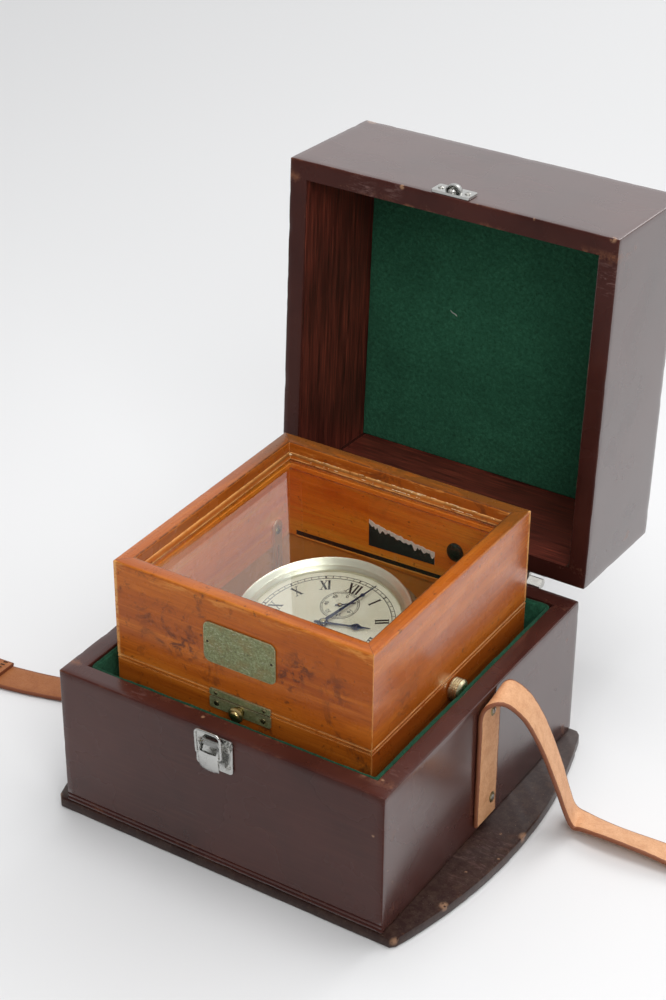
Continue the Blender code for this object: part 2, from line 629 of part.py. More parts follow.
def hand_outline(tip, tail, hub_r, stem, spade_at, spade_r, tip_w=0.35):
    """Outline of a pointer along +Y: a hub, a slim stem and, if it has one, a spade."""
    half = stem / 2
    start = math.asin(half / hub_r)
    right = [(half, hub_r * math.cos(start))]
    if spade_r:
        right += [(half, spade_at - spade_r * 1.5), (spade_r, spade_at), (half, spade_at + spade_r * 1.7)]
    right += [(tip_w, tip - 2.0), (0.12, tip)]
    left = [(-x, y) for x, y in reversed(right)]
    hub_left = circle((0.0, 0.0), hub_r, 9, math.pi / 2 + start, math.pi - start - 0.35)
    hub_right = circle((0.0, 0.0), hub_r, 9, -math.pi / 2 + 0.35, math.pi - start - 0.35)
    return right + left + hub_left[1:] + [(-0.6, -tail), (0.6, -tail)] + hub_right[:-1]


def build_bowl(ring_pivot, bowl_pivot, shutter_pivot, brass, silver, glass):
    """Gimbal ring, bowl, bezel, crystal and dial, drawn level round the gimbal's axes."""
    ring = [(RING_INNER_R, -RING_HALF_H), (RING_OUTER_R, -RING_HALF_H),
            (RING_OUTER_R, RING_HALF_H), (RING_INNER_R, RING_HALF_H)]
    ring_piece = add_piece("gimbal_ring", turned(ring, 44, (0.0, 0.0, GIMBAL_Z)),
                           brass, ring_pivot, smooth=True)
    reach = RING_OUTER_R + 2.0
    for axis in (Vector((1.0, 0.0, 0.0)), Vector((0.0, 1.0, 0.0))):
        middle = Vector((0.0, 0.0, GIMBAL_Z))
        hole = cylinder(middle - axis * reach, middle + axis * reach, PIVOT_HOLE_R, 12)
        combine(ring_piece, hole, "DIFFERENCE", ring_pivot)

    wall = 1.6
    shell = [(0.0, -43.6), (46.0, -43.6), (53.0, -38.0), (BOWL_R, -30.0), (BOWL_R, 13.5),
             (BOWL_R - wall, 13.5), (BOWL_R - wall, -29.5), (51.8, -36.8), (45.3, -42.0), (0.0, -42.0)]
    bowl = add_piece("bowl", turned(shell, 40, (0.0, 0.0, GIMBAL_Z)), brass, bowl_pivot, smooth=True)
    for side in (-1, 1):
        start = (0.0, side * (BOWL_R - 0.8), GIMBAL_Z)
        end = (0.0, side * (RING_OUTER_R - 1.0), GIMBAL_Z)
        combine(bowl, cylinder(start, end, PIVOT_R, 12), "UNION", bowl_pivot)
    winding_hole = cylinder((*FUSEE_AT, GIMBAL_Z - 46.0), (*FUSEE_AT, GIMBAL_Z - 40.0), 4.5, 16)
    combine(bowl, winding_hole, "DIFFERENCE", bowl_pivot)

    bezel = [(BEZEL_R, 13.8), (BEZEL_R, 21.0), (57.0, 21.5), (56.4, 21.3), (49.8, 15.9), (49.8, 15.1),
             (53.7, 15.1), (53.7, 13.8)]
    add_piece("bezel", turned(bezel, 48, (0.0, 0.0, GIMBAL_Z)), brass, bowl_pivot, smooth=True)
    pane = [(0.0, 18.6), (52.6, 18.6), (52.8, 18.9), (50.6, 20.4), (0.0, 20.4)]
    add_piece("crystal", turned(pane, 36, (0.0, 0.0, GIMBAL_Z)), glass, bowl_pivot, smooth=True)
    low = GIMBAL_Z + DIAL_TOP - DIAL_T
    holes = [circle((0.0, 0.0), 2.7, 16), circle((0.0, SUBDIAL_OFFSET), 1.3, 12),
             circle((0.0, -SUBDIAL_OFFSET), 1.3, 12)]
    add_piece("dial", slab(circle((0.0, 0.0), DIAL_R, 48), low, low + DIAL_T, holes), silver, bowl_pivot)

    lever = circle(SHUTTER_AT, 3.6, 9, math.pi, math.pi) + circle(FUSEE_AT, 6.4, 11, 0.0, math.pi)
    shutter = slab(lever, GIMBAL_Z - 45.6, GIMBAL_Z - 44.0)
    add_piece("winding_shutter", shutter, brass, shutter_pivot)


def build_hands(pivots, blue):
    """Four hands, each drawn towards XII on its own arbor's axis."""
    sizes = {
        "hour_hand": (31.0, 6.0, 3.2, 1.3, 21.5, 2.9, 15.8, 16.5, 1.45, (0.0, 0.0)),
        "minute_hand": (45.5, 9.0, 2.6, 1.1, 33.0, 1.5, 17.0, 17.6, 1.2, (0.0, 0.0)),
        "seconds_hand": (10.6, 3.6, 1.6, 0.5, 0.0, 0.0, 15.0, 15.4, 0.75, (0.0, -SUBDIAL_OFFSET)),
        "up_down_hand": (9.6, 3.0, 1.6, 0.5, 0.0, 0.0, 15.0, 15.4, 0.75, (0.0, SUBDIAL_OFFSET)),
    }
    for name, (tip, tail, hub, stem, spade_at, spade_r, low, high, hole_r, at) in sizes.items():
        tip_w = 0.35 if spade_r else 0.2
        drawn = hand_outline(tip, tail, hub, stem, spade_at, spade_r, tip_w)
        outline = [(x + at[0], y + at[1]) for x, y in drawn]
        piece = slab(outline, GIMBAL_Z + low, GIMBAL_Z + high, [circle(at, hole_r, 12)])
        add_piece(name, piece, blue, pivots[name])


def build_movement(bowl_pivot, pivots, brass, steel, blue):
    """Plates, fusee, barrel, train, balance and escapement under the dial."""
    floor = GIMBAL_Z
    plate_low, plate_high = PILLAR_PLATE
    holes = [circle((0.0, 0.0), 1.6, 12), circle((0.0, SUBDIAL_OFFSET), 1.3, 12), circle(FOURTH_AT, 1.3, 12)]
    plate = add_piece("pillar_plate", slab(
        circle((0.0, 0.0), PLATE_R, 36), floor + plate_low, floor + plate_high, holes), brass, bowl_pivot)
    for k in range(4):
        angle = k * math.pi / 2
        at = (PILLAR_CIRCLE * math.cos(angle), PILLAR_CIRCLE * math.sin(angle))
        foot = TOP_PLATE[1] + GAP
        post = turned([(0.0, foot), (PILLAR_R, foot), (PILLAR_R, foot + 3.0), (1.7, foot + 5.0),
                       (1.7, plate_low - 5.0), (PILLAR_R, plate_low - 3.0), (PILLAR_R, plate_low + 0.8),
                       (0.0, plate_low + 0.8)], 10, (*at, floor))
        combine(plate, post, "UNION", bowl_pivot)
    add_piece("top_plate", slab(
        circle((0.0, 0.0), TOP_PLATE_R, 32), floor + TOP_PLATE[0], floor + TOP_PLATE[1],
        [circle(FUSEE_AT, 2.2, 14)]), brass, bowl_pivot)

    foot = TOP_PLATE[1] + GAP
    head = PILLAR_PLATE[0] - GAP
    barrel = [(0.0, foot), (1.2, foot), (1.2, -6.8), (13.4, -6.8), (13.4, -5.8), (13.0, -5.4),
              (13.0, 7.2), (13.4, 7.6), (13.4, 8.6), (1.2, 8.6), (1.2, head), (0.0, head)]
    add_piece("mainspring_barrel", turned(barrel, 24, (*BARREL_AT, floor)), brass,
              pivots["mainspring_barrel"], smooth=True)
    steps = 5
    cone = [(0.0, -41.0), (1.5, -41.0), (1.5, -9.0), (7.4, -9.0)]
    for k in range(steps):
        radius = 7.4 + 5.0 * (k + 1) / steps
        height = -9.0 + 13.6 * (k + 0.5) / steps
        cone += [(radius, height - 0.5), (radius - 0.7, height), (radius, height + 0.5)]
    cone += [(13.0, 4.8), (19.4, 5.6), (19.4, 7.2), (1.5, 7.2), (1.5, head), (0.0, head)]
    add_piece("fusee", turned(cone, 20, (*FUSEE_AT, floor)), brass, pivots["fusee"], smooth=True)
    add_piece("fusee_chain", chain_band(floor), steel, bowl_pivot)

    wheels = {
        "centre_wheel": ((0.0, 0.0), 24, 13.6, 14.8, -9.0, -7.6, 5, (-4.0, 3.6, 2.4), 18.2),
        "third_wheel": (THIRD_AT, 24, 13.4, 14.6, -3.0, -1.6, 5, (-9.6, -7.0, 2.0), head),
        "fourth_wheel": (FOURTH_AT, 22, 12.4, 13.4, 2.0, 3.4, 5, (-3.6, -1.0, 2.2), 16.0),
    }
    for name, (at, teeth, root, tip, low, high, windows, pinion, top) in wheels.items():
        wheel = add_piece(name, gear(teeth, root, tip, floor + low, floor + high, at, 0.7, windows),
                          brass, pivots[name])
        pin_low, pin_high, pin_r = pinion
        arbor = turned([(0.0, foot), (0.6, foot), (0.6, foot + 2.0), (0.9, foot + 2.2), (0.9, pin_low),
                        (pin_r, pin_low), (pin_r, pin_high), (0.9, pin_high), (0.9, head - 2.0),
                        (0.6, head - 1.6), (0.6, top), (0.0, top)], 8, (*at, floor))
        combine(wheel, arbor, "UNION", pivots[name])
    at = ESCAPE_AT
    wheel = add_piece("escape_wheel", gear(15, 5.0, 6.6, floor - 12.4, floor - 11.4, at, 0.7),
                      brass, pivots["escape_wheel"])
    arbor = turned([(0.0, foot), (0.9, foot), (0.9, 1.6), (2.2, 1.6), (2.2, 4.0), (0.9, 4.0),
                    (0.9, head), (0.0, head)], 12, (*at, floor))
    combine(wheel, arbor, "UNION", pivots["escape_wheel"])

    at = BALANCE_AT
    rim = slab(circle(at, 14.0, 24), floor - 22.0, floor - 19.4,
               [sector(at, 1.6, 12.4, 0), sector(at, 1.6, 12.4, 1)])
    balance = add_piece("balance_wheel", rim, brass, pivots["balance_wheel"])
    staff = turned([(0.0, -37.0), (0.5, -37.0), (0.8, -35.0), (0.8, -23.5), (2.2, -23.5), (2.2, -18.0),
                    (0.8, -18.0), (0.5, -16.5), (0.0, -16.5)], 12, (*at, floor))
    combine(balance, staff, "UNION", pivots["balance_wheel"])
    turns = 6
    per_turn = 9
    coil = []
    for i in range(turns * per_turn + 1):
        angle = math.tau * i / per_turn
        rise = -33.6 + 8.6 * i / (turns * per_turn)
        coil.append(Vector((at[0] + 5.4 * math.cos(angle), at[1] + 5.4 * math.sin(angle), floor + rise)))
    add_piece("balance_spring", wire(coil, 0.28, 4), blue, bowl_pivot, smooth=True)
    cock = slab([(-14.0, floor - 16.3), (-14.0, floor - 40.4), (17.0, floor - 40.4), (17.0, floor - 37.4),
                 (-6.0, floor - 37.4), (-6.0, floor - 16.3)], at[1] - 4.0, at[1] + 4.0, plane="y")
    add_piece("balance_cock", cock, brass, bowl_pivot, bevel=0.5)


def sector(centre, inner, outer, which):
    """Outline of one of two windows that leave a straight bar across a balance wheel."""
    half = 1.5
    side = 1 if which == 0 else -1
    start = math.asin(half / outer)
    arc = circle((0.0, 0.0), outer, 11, start, math.pi - 2 * start)
    hub = circle((0.0, 0.0), inner + 1.0, 7, math.pi - 0.65, -(math.pi - 1.3))
    points = arc + [(-(inner + 1.6), half)] + hub + [(inner + 1.6, half)]
    return [(centre[0] + x, centre[1] + side * y) for x, y in points]


def chain_band(floor):
    """The fusee chain: half round the barrel, straight across and part round the fusee."""
    barrel_r = 13.0 + 0.8
    fusee_r = 12.8
    a = Vector(BARREL_AT)
    b = Vector(FUSEE_AT)
    along = b - a
    tilt = math.atan2(along.y, along.x)
    lean = math.acos((barrel_r - fusee_r) / along.length)
    touch = tilt + lean
    outline = []
    for offset, order in ((0.6, 1), (0.0, -1)):
        run = circle(a, barrel_r + offset, 14, touch + math.pi, -math.pi)
        run += circle(b, fusee_r + offset, 10, touch, -math.pi * 0.8)
        outline += run[::order]
    return slab(outline, floor - 1.0, floor + 0.4)


def main():
    """Build every piece."""
    remove_everything()
    paint = finish_material("case_paint", (0.075, 0.022, 0.020), 0.38)
    felt = finish_material("green_baize", (0.010, 0.075, 0.030), 0.95)
    wood = finish_material("mahogany", (0.38, 0.115, 0.030), 0.28)
    brass = finish_material("brass", (0.62, 0.47, 0.22), 0.30, 1.0)
    aged = finish_material("aged_brass", (0.22, 0.23, 0.13), 0.55, 0.8)
    chrome = finish_material("chrome", (0.75, 0.75, 0.76), 0.18, 1.0)
    silver = finish_material("silvered_dial", (0.62, 0.60, 0.52), 0.45, 0.4)
    blue = finish_material("blued_steel", (0.03, 0.05, 0.16), 0.25, 1.0)
    glass = finish_material("glass", (0.85, 0.90, 0.88), 0.03)
    leather = finish_material("tan_leather", (0.62, 0.31, 0.13), 0.60)

    lid = pivot("outer_lid_hinge", LID_AXIS, turn=(-LID_OPEN, 0.0, 0.0))
    box_lid = pivot("glazed_lid_hinge", BOX_AXIS)
    stay = pivot("lid_stay_pivot", STAY_AXIS, box_lid)
    lever = pivot("latch_lever_pivot", LEVER_AXIS)
    bail = pivot("latch_bail_pivot", BAIL_AXIS, lever)
    button = pivot("lock_button_slide", (0.0, -BOX_D / 2, BUTTON_Z))
    knob = pivot("gimbal_lock_axis", (BOX_W / 2, 0.0, GIMBAL_Z))
    tongue = pivot("buckle_tongue_pivot", BUCKLE_BAR)
    centre = (0.0, 0.0, GIMBAL_Z)
    ring = pivot("gimbal_ring_axis", centre, turn=(BOWL_TILT, 0.0, 0.0))
    bowl = pivot("bowl_axis", centre, ring)
    shutter = pivot("shutter_axis", (*SHUTTER_AT, GIMBAL_Z), bowl)
    turns = {
        "hour_hand": ((0.0, 0.0), HOUR_HAND_TURN),
        "minute_hand": ((0.0, 0.0), MINUTE_HAND_TURN),
        "seconds_hand": (FOURTH_AT, SECONDS_HAND_TURN),
        "up_down_hand": ((0.0, SUBDIAL_OFFSET), UP_DOWN_HAND_TURN),
        "fusee": (FUSEE_AT, 0.0),
        "mainspring_barrel": (BARREL_AT, 0.0),
        "centre_wheel": ((0.0, 0.0), 0.0),
        "third_wheel": (THIRD_AT, 0.0),
        "fourth_wheel": (FOURTH_AT, 0.0),
        "escape_wheel": (ESCAPE_AT, 0.0),
        "balance_wheel": (BALANCE_AT, 0.0),
    }
    arbors = {name: pivot(f"{name}_arbor", (*at, GIMBAL_Z), bowl, (0.0, 0.0, -turn))
              for name, (at, turn) in turns.items()}

    build_case(paint, felt)
    build_lid(lid, paint, felt)
    build_hinges(lid, box_lid, chrome, brass)
    build_latch(lever, bail, lid, chrome)
    build_straps(tongue, leather, chrome)
    build_box(box_lid, stay, button, knob, wood, glass, aged)
    build_bowl(ring, bowl, shutter, brass, silver, glass)
    build_hands(arbors, blue)
    build_movement(bowl, arbors, brass, chrome, blue)


main()
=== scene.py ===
"""The looks of a marine chronometer in its glazed box and carrying case.

Lengths are in millimetres until a mesh is finished, which scales it to metres. Pieces of the carrying case's
lid are drawn closed and turned open with the lid, and pieces of the bowl are drawn level and tilted with it.
"""
import json
import math
import random

import bmesh
import bpy
from mathutils import Matrix, Vector, noise


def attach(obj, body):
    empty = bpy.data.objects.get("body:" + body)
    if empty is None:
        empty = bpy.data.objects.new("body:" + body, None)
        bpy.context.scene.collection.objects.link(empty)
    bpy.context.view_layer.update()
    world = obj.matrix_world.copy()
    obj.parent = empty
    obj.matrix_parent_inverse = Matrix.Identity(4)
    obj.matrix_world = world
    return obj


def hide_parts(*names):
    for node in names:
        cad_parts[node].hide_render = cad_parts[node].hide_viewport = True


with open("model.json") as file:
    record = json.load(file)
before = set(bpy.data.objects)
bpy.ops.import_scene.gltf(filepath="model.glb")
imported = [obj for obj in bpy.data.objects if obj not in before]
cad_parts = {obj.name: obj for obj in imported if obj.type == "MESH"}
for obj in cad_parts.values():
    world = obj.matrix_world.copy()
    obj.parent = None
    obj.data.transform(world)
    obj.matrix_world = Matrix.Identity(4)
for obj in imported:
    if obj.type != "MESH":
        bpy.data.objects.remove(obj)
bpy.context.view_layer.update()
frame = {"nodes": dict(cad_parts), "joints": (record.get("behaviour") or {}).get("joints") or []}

MM = 0.001
BOARD_GRID = 5.0  # the size of the squares a board's faces are divided into
EASE = 0.9  # how far a board's edges are rounded
GROOVE_DEPTH = 0.8
JOINTS = {joint["name"]: joint for joint in frame["joints"]}
random.seed(7)
noise.seed_set(7)


def turn_about(joint, degrees):
    """The matrix that turns about a joint's axis."""
    at = Matrix.Translation(Vector(JOINTS[joint]["pos_m"]))
    return at @ Matrix.Rotation(math.radians(degrees), 4, Vector(JOINTS[joint]["axis"])) @ at.inverted()


LID = turn_about("outer_lid_hinge", -JOINTS["outer_lid_hinge"]["range_deg"][0])
GIMBAL_AT = Vector(JOINTS["bowl_tilt"]["pos_m"])
TILT = math.atan2(JOINTS["bowl_tilt"]["axis"][2], JOINTS["bowl_tilt"]["axis"][1])
BOWL = Matrix.Translation(GIMBAL_AT) @ Matrix.Rotation(TILT, 4, "X")
HERE = Matrix.Identity(4)


def extent(node, inside=HERE):
    """A CAD node's lowest and highest corners in millimetres, in the frame of a matrix."""
    back = inside.inverted()
    points = [back @ vert.co for vert in frame["nodes"][node].data.vertices]
    low = Vector([min(p[k] for p in points) for k in range(3)]) / MM
    high = Vector([max(p[k] for p in points) for k in range(3)]) / MM
    return low, high


# ---------------------------------------------------------------- materials

def scaled(colour, by):
    """A colour times a number."""
    return tuple(part * by for part in colour)


class Look:
    """A node material, put together in small steps. Texture lengths are in metres."""

    def __init__(self, name):
        self.material = bpy.data.materials.new(name)
        self.material.use_nodes = True
        self.tree = self.material.node_tree
        self.shader = self.tree.nodes["Principled BSDF"]
        self.normal = None

    def feed(self, node, **values):
        """Set or link inputs by name, or by number as i0, i1 and so on, and set a node's own properties."""
        for key, value in values.items():
            label = key.replace("_", " ")
            socket = node.inputs[int(key[1:])] if key[0] == "i" and key[1:].isdigit() else node.inputs.get(label)
            if socket is None:
                setattr(node, key, value)
            elif isinstance(value, bpy.types.NodeSocket):
                self.tree.links.new(value, socket)
            elif isinstance(value, tuple) and len(value) == 3 and socket.type == "RGBA":
                socket.default_value = (*value, 1.0)
            else:
                socket.default_value = value
        return node

    def node(self, kind, **values):
        return self.feed(self.tree.nodes.new("ShaderNode" + kind), **values)

    def place(self, scale=(1.0, 1.0, 1.0)):
        """The place on the piece at rest, stretched along each axis."""
        spot = self.node("TexCoord").outputs["Object"]
        return self.node("Mapping", Vector=spot, Scale=scale).outputs[0]

    def noise(self, where, scale, detail=3.0, rough=0.55, twist=0.0):
        made = self.node("TexNoise", Vector=where, Scale=scale, Detail=detail, Roughness=rough, Distortion=twist)
        return made.outputs[0]

    def span(self, value, low, high, to_low=0.0, to_high=1.0):
        """A smooth step from to_low at low to to_high at high."""
        made = self.node("MapRange", Value=value, From_Min=low, From_Max=high, To_Min=to_low, To_Max=to_high)
        made.interpolation_type = "SMOOTHSTEP"
        return made.outputs[0]

    def mask(self, noise, *limits):
        """A span of some noise."""
        return self.span(self.noise(*noise), *limits)

    def ramp(self, value, *stops):
        """A colour from (position, colour) stops."""
        made = self.node("ValToRGB", Fac=value)
        line = made.color_ramp.elements
        while len(line) < len(stops):
            line.new(0.5)
        for mark, (at, colour) in zip(line, stops):
            mark.position = at
            mark.color = (*colour, 1.0)
        return made.outputs[0]

    def mix(self, share, a, b):
        return self.node("MixRGB", Fac=share, Color1=a, Color2=b).outputs[0]

    def math(self, operation, a, b=0.0):
        """One operation on two values. Sums, differences and products are held between 0 and 1."""
        made = self.node("Math", operation=operation, i0=a, i1=b)
        made.use_clamp = operation in ("MULTIPLY", "ADD", "SUBTRACT")
        return made.outputs[0]

    def times(self, a, b):
        return self.math("MULTIPLY", a, b)

    def less(self, a, b):
        """A difference that may fall below 0."""
        return self.node("Math", operation="SUBTRACT", i0=a, i1=b).outputs[0]

    def over(self, colour, tint, mask, share):
        """A tint laid over a colour, as far as a mask and a share let it."""
        return self.mix(self.times(mask, share), colour, tint)

    def patches(self, colour, tint, share, noise, *limits):
        """A tint laid over a colour in patches."""
        return self.over(colour, tint, self.mask(noise, *limits), share)

    def axes(self, kind="Object"):
        """The X, Y and Z of the place, or of the normal, at a point of the surface."""
        return self.node("SeparateXYZ", Vector=self.node("TexCoord").outputs[kind]).outputs

    def bump(self, height, depth):
        """Add relief to what the surface has so far. The depth is in metres."""
        made = self.node("Bump", Height=height, Distance=depth, Strength=1.0)
        if self.normal is not None:
            self.tree.links.new(self.normal, made.inputs["Normal"])
        self.normal = made.outputs[0]

    def edge(self, radius, dense=True):
        """Nearly 1 along sharp edges, and rounded ones in a dense mesh, and 0 on flat faces."""
        soft = self.node("Bevel", Radius=radius, samples=4).outputs[0]
        hard = self.node("NewGeometry").outputs["Normal"]
        same = self.node("VectorMath", operation="DOT_PRODUCT", i0=soft, i1=hard).outputs["Value"]
        sharp = self.span(same, 0.985, 0.86)
        if not dense:
            return sharp
        point = self.node("NewGeometry").outputs["Pointiness"]
        return self.math("MAXIMUM", sharp, self.span(point, 0.515, 0.58))

    def near(self, at, radius):
        """1 at a point and 0 beyond a radius from it, both in millimetres."""
        spot = self.node("TexCoord").outputs["Object"]
        far = self.node("VectorMath", operation="DISTANCE", i0=spot, i1=tuple(x * MM for x in at))
        return self.span(far.outputs["Value"], radius * MM, radius * 0.35 * MM)

    def marks(self, colour, tint, spots, texture):
        """A tint laid over a colour near each spot, through a texture."""
        for at, radius, share in spots:
            colour = self.over(colour, tint, self.times(self.near(at, radius), texture), share)
        return colour

    def glance(self, square_on, grazing):
        """A value that changes from what is seen square on to what is seen at a grazing angle."""
        facing = self.node("LayerWeight", Blend=0.5).outputs["Facing"]
        return self.node("MapRange", Value=facing, From_Min=0.25, From_Max=0.56, To_Min=square_on,
                         To_Max=grazing).outputs[0]

    def finish(self, colour, roughness, **surface):
        """Feed the shader and give back the material."""
        self.feed(self.shader, Base_Color=colour, Roughness=roughness, **surface)
        if self.normal is not None:
            self.tree.links.new(self.normal, self.shader.inputs["Normal"])
        return self.material


def painted_wood(name, scuffs, chips, dust=0.0, coat=0.55, tone=1.0):
    """Dark red-brown stain under satin varnish, rubbed through along its edges."""
    look = Look(name)
    where = look.place()
    cloud = look.noise(where, 14.0, 4.0)
    grain = look.noise(look.place((16.0, 16.0, 500.0)), 1.0, 3.0)
    colour = look.ramp(cloud, (0.3, scaled((0.036, 0.0092, 0.0068), tone)),
                       (0.7, scaled((0.056, 0.0150, 0.0112), tone)))
    colour = look.mix(look.span(grain, 0.45, 0.75, 0.0, 0.35 * tone), colour, (0.080, 0.024, 0.016))
    colour = look.patches(colour, (0.20, 0.11, 0.08), 0.35, (where, 520.0, 2.0), 0.78, 0.83)
    colour = look.patches(colour, (0.022, 0.007, 0.006), 0.35, (where, 34.0, 3.0, 0.5), 0.48, 0.86)
    if dust:
        colour = look.patches(colour, (0.075, 0.044, 0.029), dust, (where, 210.0, 8.0, 0.85), 0.40, 0.70)
        colour = look.patches(colour, (0.24, 0.17, 0.12), dust, (where, 1100.0, 2.0), 0.68, 0.76)
    rub = look.times(look.edge(0.0016), look.mask((where, 60.0, 6.0, 0.75), 0.52, 0.70))
    colour = look.over(colour, (0.23, 0.095, 0.048), rub, 0.8)
    streaks = look.span(look.noise(look.place((90.0, 420.0, 420.0)), 1.0, 5.0, 0.75, 0.6), 0.50, 0.66)
    for marks, texture, tint in ((scuffs, streaks, (0.17, 0.095, 0.085)),
                                 (chips, look.mask((where, 300.0, 4.0, 0.7), 0.40, 0.50), (0.28, 0.155, 0.090))):
        colour = look.marks(colour, tint, marks, texture)
    scratch = look.span(look.noise(look.place((30.0, 30.0, 900.0)), 1.0, 2.0), 0.70, 0.76)
    colour = look.over(colour, (0.16, 0.12, 0.11), scratch, 0.12)
    look.bump(grain, 0.00003)
    look.bump(look.noise(where, 60.0, 3.0), 0.00008)
    shine = look.mask((where, 24.0, 3.0, 0.5), 0.3, 0.75, 0.23, 0.31)
    shine = look.math("ADD", shine, look.times(rub, 0.3))
    if dust:
        shine = look.math("ADD", shine, 0.22)
    return look.finish(colour, shine, IOR=1.5, Specular_IOR_Level=look.glance(0.14, 0.20 + coat * 1.15),
                       Coat_Weight=look.glance(0.0, coat), Coat_Roughness=0.20)


def stained_inside(name):
    """Red mahogany stain with its grain showing, along the boards of the lid."""
    look = Look(name)
    where = look.place()
    line = look.noise(look.place((20.0, 20.0, 20.0)), 1.0, 2.0)
    side = look.noise(look.place((900.0, 26.0, 900.0)), 1.0, 4.0, 0.6)
    front = look.noise(look.place((26.0, 900.0, 900.0)), 1.0, 4.0, 0.6)
    facing = look.math("GREATER_THAN", look.math("ABSOLUTE", look.axes("Normal")[0]), 0.5)
    fibre = look.mix(facing, front, side)
    colour = look.ramp(fibre, (0.34, (0.045, 0.0085, 0.0055)), (0.52, (0.125, 0.0230, 0.0140)),
                       (0.72, (0.280, 0.0580, 0.0300)))
    colour = look.mix(look.span(line, 0.35, 0.7, 0.0, 0.35), colour, (0.020, 0.005, 0.004))
    look.bump(fibre, 0.00010)
    look.bump(look.noise(where, 300.0, 3.0), 0.00003)
    return look.finish(colour, look.span(fibre, 0.3, 0.7, 0.42, 0.58), IOR=1.5, Specular_IOR_Level=0.4)


